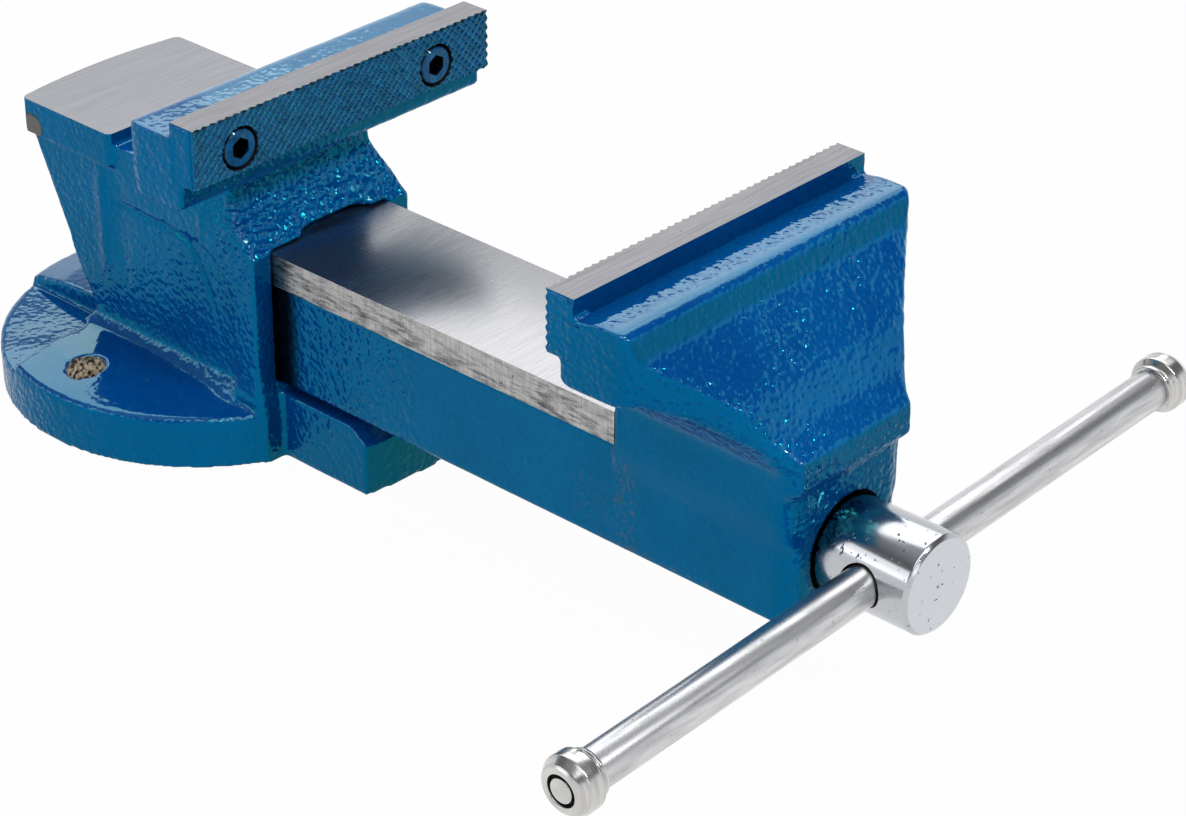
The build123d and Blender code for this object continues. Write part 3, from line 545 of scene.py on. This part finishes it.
def points_of(mesh):
    co = np.empty(len(mesh.vertices) * 3, np.float64)
    mesh.vertices.foreach_get("co", co)
    return co.reshape(-1, 3)


def normals_of(mesh):
    no = np.empty(len(mesh.vertices) * 3, np.float64)
    mesh.vertex_normals.foreach_get("vector", no)
    return no.reshape(-1, 3)


def move_points(mesh, co):
    mesh.vertices.foreach_set("co", co.ravel())
    mesh.update()


def ramp(value, low, high):
    """0 below low, 1 above high, smooth between."""
    t = np.clip((value - low) / (high - low), 0, 1)
    return t * t * (3 - 2 * t)


def hump(value, centre, width):
    return np.exp(-(((value - centre) / width) ** 2))


def noise_at(co, scale):
    """Soft noise at every point, with about scale waves in a metre."""
    return np.array([noise.noise(Vector(p) * scale) for p in co])


def inside(co, z, soft, x=None, y=None):
    """A soft 0..1 mask of a box given in mm; None leaves an axis free."""
    mask = np.ones(len(co))
    for axis, span in enumerate((x, y, z)):
        if span is not None:
            v = co[:, axis] / MM
            mask *= ramp(v, span[0] - soft, span[0]) * ramp(-v, -span[1] - soft, -span[1])
    return mask


def modified(mesh, kind, weights=None, **settings):
    """A new mesh: the old one after a modifier, which acts by weights from 0 to 1 if given."""
    temp = bpy.data.objects.new("temp", mesh)
    bpy.context.scene.collection.objects.link(temp)
    modifier = temp.modifiers.new("step", kind)
    for key, value in settings.items():
        setattr(modifier, key, value)
    if weights is not None:
        group = temp.vertex_groups.new(name="weights")
        levels = np.round(weights * 20).astype(int)
        for level in range(1, 21):
            group.add(np.nonzero(levels == level)[0].tolist(), level / 20, "REPLACE")
        modifier.vertex_group = group.name
    bpy.context.view_layer.update()
    done = bpy.data.meshes.new_from_object(temp.evaluated_get(bpy.context.evaluated_depsgraph_get()))
    bpy.data.objects.remove(temp)
    return done


def turned(profile, centre, axis, up, segments):
    """A closed surface of revolution from (place along the axis, radius) points in mm."""
    bm = bmesh.new()
    axis = Vector(axis).normalized()
    up = Vector(up).normalized()
    across = axis.cross(up)
    rings = []
    for along, radius in profile:
        if radius <= 1e-9:
            rings.append([bm.verts.new(Vector(centre) + axis * along * MM)])
            continue
        ring = []
        for k in range(segments):
            angle = 2 * math.pi * k / segments
            direction = up * math.cos(angle) + across * math.sin(angle)
            ring.append(bm.verts.new(Vector(centre) + axis * along * MM + direction * radius * MM))
        rings.append(ring)
    for a, b in zip(rings, rings[1:]):
        for k in range(segments):
            n = (k + 1) % segments
            quad = [a[k % len(a)], a[n % len(a)], b[n % len(b)], b[k % len(b)]]
            bm.faces.new(list(dict.fromkeys(quad)))
    bmesh.ops.recalc_face_normals(bm, faces=bm.faces)
    return bm


def bored(mesh, centre, axis, up, radius, segments):
    """The mesh with a hole of a radius in mm, drilled 20 mm to either side of the centre."""
    shape = [(-20, 0), (-20, radius), (20, radius), (20, 0)]
    drill_mesh = mesh_from(turned(shape, centre, axis, up, segments), "drill")
    drill = bpy.data.objects.new("drill", drill_mesh)
    bpy.context.scene.collection.objects.link(drill)
    done = modified(mesh, "BOOLEAN", operation="DIFFERENCE", solver="EXACT", object=drill)
    bpy.data.objects.remove(drill)
    return done


def rounded(points, radius):
    """The profile with its corners rounded, except at its two ends."""
    steps = 3
    result = [points[0]]
    for before, corner, after in zip(points, points[1:], points[2:]):
        a, c, b = (Vector(p) for p in (before, corner, after))
        cut_a = min(radius, (a - c).length * 0.45)
        cut_b = min(radius, (b - c).length * 0.45)
        start, end = c + (a - c).normalized() * cut_a, c + (b - c).normalized() * cut_b
        for k in range(steps + 1):
            t = k / steps
            p = start * (1 - t) ** 2 + c * 2 * t * (1 - t) + end * t * t
            result.append((p.x, p.y))
    result.append(points[-1])
    return result


# ---------------------------------------------------------------- the castings
STEEL_SKIN, SAND_SKIN = 1, 2    # in the body's row of materials; paint is 0
RUST_SKIN = 1                   # in the sliding jaw's row


def cast_surface(node, plate, grow, soft_zones, calm, shape):
    """The node's solid as a cast surface: rounded edges and a slightly uneven skin.

    grow moves the solid's corners first, soft_zones weighs where edges are rounded more, calm
    says how strong the pebbles are, and shape moves the finished points. The surface stays in
    the box of the node and of the plate, whose ends the casting covers.
    """
    bm = bmesh.new()
    bm.from_mesh(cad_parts[node].data)
    bmesh.ops.remove_doubles(bm, verts=bm.verts, dist=1e-6)
    grow(bm)
    mesh = bpy.data.meshes.new(node + "_start")
    bm.to_mesh(mesh)
    bm.free()
    voxel = 0.65 * 1.0 * MM
    mesh = modified(mesh, "REMESH", mode="VOXEL", voxel_size=voxel)
    mesh = modified(mesh, "SMOOTH", factor=0.5, iterations=3)
    mesh = modified(mesh, "SMOOTH", soft_zones(points_of(mesh)), factor=0.5, iterations=30)
    co, no = points_of(mesh), normals_of(mesh)
    swell, pebble = noise_at(co, 90), noise_at(co, 430)
    pebble *= 1 - 0.85 * ramp(no[:, 2], 0.85, 0.95)
    pebble *= calm(co)
    co -= no * (MM * (0.13 + 0.06 * swell + 0.075 * pebble))[:, None]
    co = shape(co)
    own, cover = np.array(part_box(node)), np.array(plate)
    co = np.clip(co, np.minimum(own[0], cover[0]), np.maximum(own[1], cover[1]))
    move_points(mesh, co)
    return mesh


def shift(bm, plane_y, amount):
    """Move the corners that lie in one upright plane, so a seat runs on under its plate."""
    for vert in bm.verts:
        if abs(vert.co.y - plane_y) < 0.02 * MM:
            vert.co.y += amount * MM


def end_blocks(bm, plate, into):
    """Casting in place of each end of a plate, so that one skin of paint covers both."""
    behind_face, length, skin = 0.9, 5, 0.15
    low, high = plate
    y_face, y_back = (low.y, high.y) if into > 0 else (high.y, low.y)
    span = sorted((y_face + into * behind_face * MM, y_back))
    for side in (-1, 1):
        ends = sorted((side * (high.x - length * MM), side * (high.x + skin * MM)))
        made = bmesh.ops.create_cube(bm, size=1)["verts"]
        for vert in made:
            vert.co.x = ends[vert.co.x > 0]
            vert.co.y = span[vert.co.y > 0]
            vert.co.z = high.z - skin * MM if vert.co.z > 0 else low.z


def grow_body(bm):
    """Fill in round the plate, narrow the bolt holes and raise the anvil, to be cut true later."""
    shift(bm, fixed_plate[1].y, -1.3)
    end_blocks(bm, fixed_plate, 1)
    narrow = 4.85
    for vert in bm.verts:
        across = abs(vert.co.x) - BOLT_X
        gap = math.hypot(across, vert.co.y)
        if 0.5 * MM < gap < BOLT_RADIUS + 0.2 * MM:
            vert.co.x = math.copysign(BOLT_X + across * narrow * MM / gap, vert.co.x)
            vert.co.y *= narrow * MM / gap
    for vert in bm.verts:
        if vert.co.y > 4 * MM and vert.co.z > ANVIL_TOP - 0.05 * MM:
            vert.co.z += 3 * MM


def body_soft(co):
    """Edges are softer where the jaw meets the body and round the foot of the recesses."""
    neck = inside(co, x=(-30, 30), y=(-47, -24), z=(60, 80), soft=3)
    foot = inside(co, z=(13, 26), soft=2)
    foot = foot * (np.abs(co[:, 0]) > 23.5 * MM) * (np.abs(co[:, 0]) < 34 * MM)
    ledge = inside(co, y=(-56, -44), z=(78, 90), soft=0.5)
    return np.clip(np.maximum(neck, foot) - ledge, 0, 1)


def body_calm(co):
    """The rim's lower edge is even."""
    return ramp(co[:, 2] / MM, 1.0, 4.0)


def body_shape(co):
    """Soft upright ridges, the undercut crown of each recess and the low hump behind the bar."""
    x, y, z = (co[:, axis] / MM for axis in range(3))
    side = np.sign(x) * (np.abs(x) > 22.5) * (np.abs(x) < 29) * (z > 20) * (z < 66)
    reach = ramp(z, 30, 42) * ramp(-z, -66, -58)
    out = 0.75 * hump(y, 11.0, 1.8) * reach - 0.55 * hump(y, 4.5, 3.0) * reach
    out += 0.35 * hump(y, -29.0, 1.0) * ramp(z, 50, 58)
    crown = 54.6 - 0.0035 * np.clip(-14 - y, 0, 40) ** 3
    under = (y < 9) * (y > -38) * ramp(-np.abs(y + 14), -24, -14)
    out -= 0.9 * hump(z, crown, 0.9) * under
    co[:, 0] += side * out * MM
    co[:, 1] += 1.8 * MM * ramp(z, 76, 86) * ramp(y, -38, -34) * (y < -25)
    return co


def flat_anvil(bm):
    """Cut the anvil's top level and close it with bare steel."""
    chosen = [v for v in bm.verts if v.co.y > -8 * MM and v.co.z > 66 * MM]
    known = set(chosen)
    edges = [e for e in bm.edges if e.verts[0] in known and e.verts[1] in known]
    faces = [f for f in bm.faces if all(v in known for v in f.verts)]
    cut = bmesh.ops.bisect_plane(
        bm, geom=chosen + edges + faces, plane_co=(0, 0, ANVIL_TOP), plane_no=(0, 0, 1), clear_outer=True
    )
    rim = only(cut["geom_cut"], bmesh.types.BMEdge)
    cap = bmesh.ops.contextual_create(bm, geom=rim)["faces"]
    for face in bm.faces:
        face.smooth = True
    for face in cap:
        face.material_index = STEEL_SKIN
        face.smooth = False
        for edge in face.edges:
            edge.smooth = False
    bmesh.ops.triangulate(bm, faces=cap)


def cast_body():
    mesh = cast_surface("fixed_jaw_body", fixed_plate, grow_body, body_soft, body_calm, body_shape)
    for side in (-1, 1):
        mesh = bored(mesh, (side * BOLT_X, 0, 10 * MM), (0, 0, 1), (0, 1, 0), 5.05, 96)
    bm = bmesh.new()
    bm.from_mesh(mesh)
    flat_anvil(bm)
    for face in bm.faces:
        middle = face.calc_center_median()
        from_hole = math.hypot(abs(middle.x) - BOLT_X, middle.y)
        upright = abs(face.normal.z) < 0.6
        if from_hole < BOLT_RADIUS + 0.3 * MM and middle.z > 0.5 * MM and upright:
            face.material_index = SAND_SKIN
            for edge in face.edges:
                edge.smooth = edge.calc_face_angle(0) < 0.6
    bm.to_mesh(mesh)
    bm.free()
    skins = [paint_body, steel_anvil, sand_hole]
    new_piece("cast_body", mesh, skins, "base", "blue_casting", "fixed_jaw_body")


def grow_jaw(bm):
    """Fill in round the plate and narrow the nose's recess, which gets its own size later."""
    narrow = 12.8
    for vert in bm.verts:
        out = math.hypot(vert.co.x, vert.co.z - AXIS_Z)
        if 13 * MM < out < 13.8 * MM and vert.co.y < -210 * MM:
            vert.co.x *= narrow * MM / out
            vert.co.z = AXIS_Z + (vert.co.z - AXIS_Z) * narrow * MM / out
    shift(bm, sliding_plate[0].y, 1.3)
    end_blocks(bm, sliding_plate, -1)


def jaw_soft(co):
    """Edges are softer on the flare and on the cheeks below it."""
    flare = inside(co, y=(-217, -190), z=(60, 92), soft=3)
    cheek = inside(co, y=(-214, -166), z=(34, 79), soft=3) * (np.abs(co[:, 0]) > 17 * MM)
    return np.clip(np.maximum(flare * 0.35, cheek), 0, 1)


def jaw_calm(co):
    """The beam's and nose's sides are smoother than the rest."""
    return 1 - 0.7 * inside(co, y=(-212, -100), z=(20, 50), soft=6) * (np.abs(co[:, 0]) > 17 * MM)


def jaw_shape(co):
    """The bar's top sinks a little towards the plate, and the right of the flare is uneven."""
    x, y, z = (co[:, axis] / MM for axis in range(3))
    seat = sliding_plate[0].y / MM
    back = seat - y
    top = (z > 97.0) * (y < seat + 2)
    co[:, 2] -= top * 0.9 * (1 - ramp(back, 1.0, 6.5)) * MM
    ripple = noise_at(co, 300)
    dash = np.array([noise.noise(Vector((p[0] * 500, p[1] * 250, 0))) for p in co])
    co[:, 2] += top * (0.14 * hump(back, 2.4, 0.6) + 0.16 * dash * hump(back, 5.0, 2.2)) * MM
    right = ramp(x, 0, 30) * (y < -184) * ramp(z, 60, 66) * ramp(-z, -95, -90)
    co[:, 1] += 0.28 * ripple * right * MM
    return co


def sink_under_land(co):
    """The cast beam keeps inside the milled strip that covers its upper edges."""
    strip = (co[:, 1] > SHOULDER_Y - 0.5 * MM) & (co[:, 2] > LAND_BOTTOM - 0.6 * MM)
    strip = strip & (co[:, 2] < 60 * MM)
    side = strip & (np.abs(co[:, 0]) > 19.2 * MM)
    co[side, 0] = np.clip(co[side, 0], -19.6 * MM, 19.6 * MM)
    top = strip & (co[:, 2] > 56.0 * MM) & (co[:, 1] > SHOULDER_Y + 2 * MM)
    co[top, 2] = np.minimum(co[top, 2], 56.5 * MM)


def true_recess(co):
    """The points near the wall of the nose's recess go onto it."""
    out = np.hypot(co[:, 0], co[:, 2] - AXIS_Z)
    brink = (co[:, 1] < -205 * MM) & (np.abs(out - RECESS_RADIUS) < 0.4 * MM)
    scale = RECESS_RADIUS / out[brink]
    co[brink, 0] *= scale
    co[brink, 2] = AXIS_Z + (co[brink, 2] - AXIS_Z) * scale


def cast_sliding_jaw():
    mesh = cast_surface("sliding_jaw", sliding_plate, grow_jaw, jaw_soft, jaw_calm, jaw_shape)
    co = points_of(mesh)
    sink_under_land(co)
    true_recess(co)
    move_points(mesh, co)
    bm = bmesh.new()
    bm.from_mesh(mesh)
    for face in bm.faces:
        face.smooth = True
        middle = face.calc_center_median()
        from_axis = math.hypot(middle.x, middle.z - AXIS_Z)
        if from_axis < RECESS_RADIUS and middle.y < -198 * MM:
            face.material_index = RUST_SKIN
    for edge in bm.edges:
        if len({face.material_index for face in edge.link_faces}) == 2:
            edge.smooth = False
    bm.to_mesh(mesh)
    bm.free()
    new_piece("cast_sliding_jaw", mesh, [paint_jaw, near_black_rust], "jaw", "blue_casting", "sliding_jaw")


def slide_land():
    """The milled strip on the beam: flat top, crisp edges and a square front end."""
    bm = bmesh.new()
    low = Vector((-SLIDE_HALF, SHOULDER_Y, LAND_BOTTOM))
    high = Vector((SLIDE_HALF, LAND_END, SLIDE_TOP))
    bmesh.ops.create_cube(bm, size=1)
    for vert in bm.verts:
        for axis in range(3):
            vert.co[axis] = high[axis] if vert.co[axis] > 0 else low[axis]
    long_edges = [e for e in bm.edges if abs(e.verts[0].co.y - e.verts[1].co.y) > 0.1]
    bmesh.ops.subdivide_edges(bm, edges=long_edges, cuts=60, use_grid_fill=True)
    upper = [e for e in bm.edges if min(v.co.z for v in e.verts) > 50 * MM]
    sharp = [e for e in upper if e.calc_face_angle(0) > 1]
    bmesh.ops.bevel(bm, geom=sharp, offset=0.25 * MM, segments=2, affect="EDGES", profile=0.5)
    for face in bm.faces:
        face.material_index = 0 if face.normal.z > 0.7 else 1
    mesh = mesh_from(bm, "slide_land", 30)
    new_piece("slide_land", mesh, [steel_slide_top, steel_slide_side], "jaw", "bright_steel")


cast_body()
cast_sliding_jaw()
slide_land()


# ---------------------------------------------------------------- knurled plates
KNURL_PITCH = 2.475 * MM
KNURL_CELL = KNURL_PITCH / 10
SCREW_BORE = 5.7 * MM
TOP_SKIN, SIDE_SKIN, HOLE_SKIN = 1, 2, 3    # in the plate's row of materials; the knurl is 0


def knurl_depth(xs, zs):
    """How deep the diamond knurl is at each point of a grid, in metres."""
    gx, gz = np.meshgrid(xs, zs)
    depth = np.zeros_like(gx)
    for sign in (1, -1):
        phase = (gx + sign * gz) / KNURL_PITCH
        groove = np.abs(phase - np.round(phase)) * 2
        depth = np.maximum(depth, np.clip(1 - groove / 0.8, 0, 1))
    bumps = np.array([[noise.noise(Vector((x, 7.0, z)) * 500) for x in xs] for z in zs])
    return np.clip(0.62 * depth + 0.06 + 0.08 * bumps, 0, 1) * MM


def knurled_face(bm, xs, zs, face_y, into, holes):
    """The knurled face with its screw holes; the rows of its corners are returned."""
    grid = []
    for z_row, deep_row in zip(zs, knurl_depth(xs, zs)):
        grid.append([])
        for x, deep in zip(xs, deep_row):
            z = z_row
            for hx, hz in holes:
                r = math.hypot(x - hx, z - hz)
                if abs(r - SCREW_BORE) < 0.72 * KNURL_CELL and r > 0:
                    x, z = hx + (x - hx) * SCREW_BORE / r, hz + (z - hz) * SCREW_BORE / r
            grid[-1].append(bm.verts.new((x, face_y + into * deep, z)))
    for lower, upper in zip(grid, grid[1:]):
        for corners in zip(lower, lower[1:], upper[1:], upper):
            centre = sum((v.co for v in corners), Vector()) / 4
            if all(math.hypot(centre.x - hx, centre.z - hz) > SCREW_BORE for hx, hz in holes):
                bm.faces.new(corners if into > 0 else corners[::-1])
    loose = [v for v in bm.verts if not v.link_faces]
    bmesh.ops.delete(bm, geom=loose, context="VERTS")
    return grid


def hole_walls(bm, holes, floor_y):
    """The wall and floor of each screw hole, black as painted shade."""
    def by_hole(edge):
        place = edge.verts[0].co
        return any(math.hypot(place.x - hx, place.z - hz) < SCREW_BORE * 1.5 for hx, hz in holes)

    rims = [e for e in bm.edges if len(e.link_faces) == 1 and by_hole(e)]
    wall = bmesh.ops.extrude_edge_only(bm, edges=rims)["geom"]
    for vert in only(wall, bmesh.types.BMVert):
        vert.co.y = floor_y
    floor_edges = [e for e in only(wall, bmesh.types.BMEdge) if len(e.link_faces) == 1]
    floors = bmesh.ops.edgenet_fill(bm, edges=floor_edges)["faces"]
    for face in floors + only(wall, bmesh.types.BMFace):
        face.material_index = HOLE_SKIN


def plate_sides(bm, grid, low, high, back_y, into):
    """The plate's bottom, right end, top and left end, in that order, and its back."""
    rims = (grid[0], [row[-1] for row in grid], grid[-1][::-1], [row[0] for row in grid[::-1]])
    corners = ((low.x, low.z), (high.x, low.z), (high.x, high.z), (low.x, high.z))
    back = [bm.verts.new((x, back_y, z)) for x, z in corners]
    for side, rim in enumerate(rims):
        ring = rim + [back[(side + 1) % 4], back[side]]
        face = bm.faces.new(ring[::-1] if into > 0 else ring)
        face.material_index = TOP_SKIN if side == 2 else SIDE_SKIN
    rear = bm.faces.new([back[0]] + back[:0:-1] if into > 0 else back)
    rear.material_index = SIDE_SKIN


def knurled_plate(name, node, body, into, screw_nodes):
    """The jaw plate with a diamond-knurled face, bored for its screws; into is its depth's sign."""
    low, high = (v.copy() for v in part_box(node))
    low.x += 0.45 * MM
    high.x -= 0.45 * MM
    face_y, back_y = (low.y, high.y) if into > 0 else (high.y, low.y)
    holes = []
    for screw in screw_nodes:
        a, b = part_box(screw)
        holes.append(((a.x + b.x) / 2, (a.z + b.z) / 2))
    xs = np.linspace(low.x, high.x, round((high.x - low.x) / KNURL_CELL) + 1)
    zs = np.linspace(low.z, high.z, round((high.z - low.z) / KNURL_CELL) + 1)
    bm = bmesh.new()
    grid = knurled_face(bm, xs, zs, face_y, into, holes)
    hole_walls(bm, holes, back_y - into * 0.6 * MM)
    plate_sides(bm, grid, low, high, back_y, into)
    bmesh.ops.recalc_face_normals(bm, faces=bm.faces)
    bmesh.ops.triangulate(bm, faces=[f for f in bm.faces if len(f.verts) > 4])
    skins = [paint_knurl, steel_plate, paint_small, black_recess_shade]
    new_piece(name, mesh_from(bm, name, 38), skins, body, "jaw_plate_steel", node)


fixed_screws = ("fixed_plate_screw_left", "fixed_plate_screw_right")
sliding_screws = ("sliding_plate_screw_left", "sliding_plate_screw_right")
knurled_plate("knurled_fixed_plate", "fixed_jaw_plate", "base", 1, fixed_screws)
knurled_plate("knurled_sliding_plate", "sliding_jaw_plate", "jaw", -1, sliding_screws)


# ---------------------------------------------------------------- turned pieces
bar_centre = Vector((0, HANDLE_Y, AXIS_Z))
bar_axis = Vector((math.cos(TILT), 0, math.sin(TILT)))
bar_up = Vector((-math.sin(TILT), 0, math.cos(TILT)))
BAR_LEFT, BAR_RIGHT = -100.3, 99.4      # the knobs' inner ends along the bar, in mm
BAR_SEGMENTS = 96


def spindle_head():
    """The chromed head, its neck and the plain end of the shank, bored across for the bar."""
    front, head_back, neck_back, shank_end = spindle_box[0].y / MM, -213.4, -200.2, -181.0
    head, neck, shank = 12.25, 8.92, 8.0
    profile = [
        (front, 0), (front, 11.3), (front + 1.0, head), (head_back, head), (head_back, neck),
        (neck_back, neck), (neck_back, shank), (-182.5, shank), (shank_end, 6.2), (shank_end, 0),
    ]
    bm = turned(rounded(profile, 0.25), (0, 0, AXIS_Z), (0, 1, 0), (0, 0, 1), 160)
    hole_centre = bar_centre + bar_up * 0.15 * MM
    segments = 128
    mesh = bored(mesh_from(bm, "head"), hole_centre, bar_axis, bar_up, 5.5, segments)
    bm = bmesh.new()
    bm.from_mesh(mesh)
    mesh = mesh_from(bm, "spindle_head", 24)
    new_piece("spindle_head", mesh, [chrome_head], "screw", "chromed_steel", "spindle")


def lead_thread():
    """The right-hand thread: a helical surface cut square at both ends."""
    start, end, pitch, crest, root = -181.5, 10.0, 4.0, 8.0, 5.8
    turn_steps = 48
    shape = ((0.0, root), (1.46, root), (2.0, crest), (3.46, crest))
    turns = int((end - start) / pitch) + 2
    bm = bmesh.new()
    columns = []
    for i in range(turns * turn_steps + 1):
        angle = 2 * math.pi * i / turn_steps
        y = start - pitch + pitch * i / turn_steps
        column = []
        for along, r in shape:
            place = (r * MM * math.sin(angle), (y + along) * MM, AXIS_Z + r * MM * math.cos(angle))
            column.append(bm.verts.new(place))
        columns.append(column)
    for i in range(len(columns) - 1):
        a, b = columns[i], columns[i + 1]
        for k in range(len(shape) - 1):
            bm.faces.new((a[k], a[k + 1], b[k + 1], b[k]))
        if i + turn_steps + 1 < len(columns):
            c, d = columns[i + turn_steps], columns[i + turn_steps + 1]
            bm.faces.new((a[-1], c[0], d[0], b[-1]))
    for plane_y, keep in ((start, 1), (end, -1)):
        cut = bmesh.ops.bisect_plane(
            bm, geom=list(bm.verts) + list(bm.edges) + list(bm.faces), plane_co=(0, plane_y * MM, 0),
            plane_no=(0, -keep, 0), clear_outer=True,
        )
        bmesh.ops.contextual_create(bm, geom=only(cut["geom_cut"], bmesh.types.BMEdge))
    bmesh.ops.recalc_face_normals(bm, faces=bm.faces)
    new_piece("lead_thread", mesh_from(bm, "lead_thread", 30), [screw_steel], "screw", "chromed_steel")


def tommy_bar():
    radius = 5.0
    ends = [(BAR_LEFT, 0), (BAR_LEFT, radius), (BAR_RIGHT, radius), (BAR_RIGHT, 0)]
    bm = turned(rounded(ends, 0.4), bar_centre, bar_axis, bar_up, BAR_SEGMENTS)
    mesh = mesh_from(bm, "tommy_bar", 30)
    new_piece("tommy_bar", mesh, [bar_steel], "handle", "bright_steel", "handle_bar")


def end_knob(name, inner, side, node):
    """The turned knob: collar, groove, rounded rim and the riveted end of the bar."""
    points = [
        (0, 0), (0, 5.8), (0.8, 6.0), (1.1, 5.6), (1.5, 5.8), (2.5, 7.1), (2.9, 7.2), (6.2, 7.2),
        (6.7, 6.9), (8.2, 5.9), (8.8, 5.1), (8.8, 4.0), (8.4, 3.8), (7.2, 3.8), (7.2, 3.1),
        (8.6, 3.0), (8.8, 2.7), (8.8, 0),
    ]
    profile = rounded([(inner + side * a, r) for a, r in points], 0.2)
    bm = turned(profile, bar_centre, bar_axis, bar_up, BAR_SEGMENTS)
    for face in bm.faces:
        out = face.calc_center_median() - bar_centre
        along = out.dot(bar_axis)
        radius = (out - along * bar_axis).length
        # The groove round the riveted end is black: painted shade.
        in_groove = 3.05 * MM < radius < 3.85 * MM and abs(along) > (abs(inner) + 7) * MM
        face.material_index = int(in_groove)
    mesh = mesh_from(bm, name, 30)
    new_piece(name, mesh, [knob_steel, black_recess_shade], "handle", "bright_steel", node)


spindle_head()
lead_thread()
tommy_bar()
end_knob("turned_knob_left", BAR_LEFT, -1, "handle_knob_left")
end_knob("turned_knob_right", BAR_RIGHT, 1, "handle_knob_right")


# ---------------------------------------------------------------- CAD pieces that stay
kept = {
    paint_screw: fixed_screws + sliding_screws,
    zinc: ("thrust_washer", "spindle_retainer", "nut_flat_washer", "nut_lock_washer", "nut_bolt"),
    spring_black: ("spindle_spring", "retainer_pin"),
    nut_iron: ("spindle_nut",),
}
for material, nodes in kept.items():
    for node in nodes:
        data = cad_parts[node].data
        data.materials.clear()
        data.materials.append(material)


# ---------------------------------------------------------------- floor, light and camera
def background():
    """White to the camera; in reflections pale low down, dark above and grey overhead."""
    world = bpy.data.worlds.new("studio")
    bpy.context.scene.world = world
    world.use_nodes = True
    tree = world.node_tree
    tree.nodes.clear()
    out = tree.nodes.new("ShaderNodeOutputWorld")
    shade = tree.nodes.new("ShaderNodeBackground")
    path = tree.nodes.new("ShaderNodeLightPath")
    place = tree.nodes.new("ShaderNodeTexCoord")
    split = tree.nodes.new("ShaderNodeSeparateXYZ")
    heights = tree.nodes.new("ShaderNodeValToRGB")
    white = tree.nodes.new("ShaderNodeMix")
    white.data_type = "RGBA"
    link = tree.links.new
    link(place.outputs["Generated"], split.inputs[0])
    link(split.outputs[2], heights.inputs[0])
    stops = heights.color_ramp.elements
    stops[0].position, stops[0].color = 0.0, (0.95, 0.96, 0.98, 1)
    stops[1].position, stops[1].color = 1.0, (0.5, 0.52, 0.55, 1)
    for height, level in ((0.30, 0.90), (0.46, 0.16), (0.72, 0.16)):
        stop = stops.new(height)
        stop.color = (level, level * 1.03, level * 1.07, 1)
    link(path.outputs["Is Camera Ray"], white.inputs[0])
    link(heights.outputs[0], white.inputs[6])
    white.inputs[7].default_value = (1, 1, 1, 1)
    link(white.outputs[2], shade.inputs[0])
    link(shade.outputs[0], out.inputs[0])


def floor():
    """A pale floor that glows white to the camera and in reflections, with a faint shadow."""
    bm = bmesh.new()
    bmesh.ops.create_grid(bm, x_segments=2, y_segments=2, size=4)
    mesh = mesh_from(bm, "floor")
    piece = bpy.data.objects.new("floor", mesh)
    bpy.context.scene.collection.objects.link(piece)
    piece.location.z = -0.2 * MM
    s = Shader("pale_floor")
    path = s.node("LightPath")
    plain = s.node("BsdfDiffuse", Color=(0.62, 0.63, 0.65))
    glow = s.node("Emission", Color=(1, 1, 1), Strength=1.0)
    seen = s.math("MAXIMUM", path.outputs["Is Camera Ray"], path.outputs["Is Glossy Ray"])
    both = s.node("MixShader")
    for index, value in enumerate((s.times(seen, 0.975), plain.outputs[0], glow.outputs[0])):
        s.put(both.inputs[index], value)
    s.put(s.out.inputs[0], both.outputs[0])
    mesh.materials.append(s.material)


def lamp(name, direction, distance, size, radiance):
    """A rectangular softbox that faces the vise; radiance is what a mirror would show."""
    light = bpy.data.lights.new(name, "AREA")
    light.shape = "RECTANGLE"
    light.size, light.size_y = size
    light.energy = radiance * math.pi * size[0] * size[1]
    piece = bpy.data.objects.new(name, light)
    bpy.context.scene.collection.objects.link(piece)
    target = Vector((0, -0.1, 0.05))
    away = Vector(direction).normalized()
    piece.location = target + away * distance
    piece.rotation_euler = away.to_track_quat("Z", "Y").to_euler()


def photo_camera():
    """The camera that was fitted to the photograph."""
    camera = bpy.data.cameras.new("camera")
    camera.lens = 104.24
    camera.sensor_width = 36
    camera.shift_x, camera.shift_y = 0.00989, -0.00224
    camera.clip_start = 0.05
    piece = bpy.data.objects.new("camera", camera)
    bpy.context.scene.collection.objects.link(piece)
    place = (-0.524168, -0.615813, 0.446675)
    right = Vector((0.67863079, -0.73446955, 0.00383674))
    up = Vector((0.36266355, 0.3396251, 0.8678306))
    forward = Vector((0.63869821, 0.58754512, -0.49684538))
    turn = Matrix((right, up, -forward)).transposed().to_4x4()
    piece.matrix_world = Matrix.Translation(place) @ turn
    bpy.context.scene.camera = piece


background()
floor()
lamp("key_box", (0.439, 0.505, 0.743), 1.7, (1.7, 1.4), 1.9)
lamp("left_box", (-0.80, 0.38, 0.42), 1.7, (1.3, 0.6), 1.4)
lamp("fill_box", (-0.30, -0.45, 0.84), 1.8, (1.2, 1.1), 1.8)
lamp("front_box", (-0.30, -0.86, 0.41), 1.9, (0.6, 0.6), 1.3)
lamp("edge_box", (0.64, -0.02, 0.77), 1.7, (0.5, 0.6), 1.5)
lamp("spark_high", (0.08, -0.61, 0.79), 1.7, (0.16, 0.16), 50)
lamp("spark_low", (0.16, -0.69, 0.69), 1.7, (0.16, 0.16), 50)
photo_camera()
bpy.context.scene.view_settings.view_transform = "Standard"
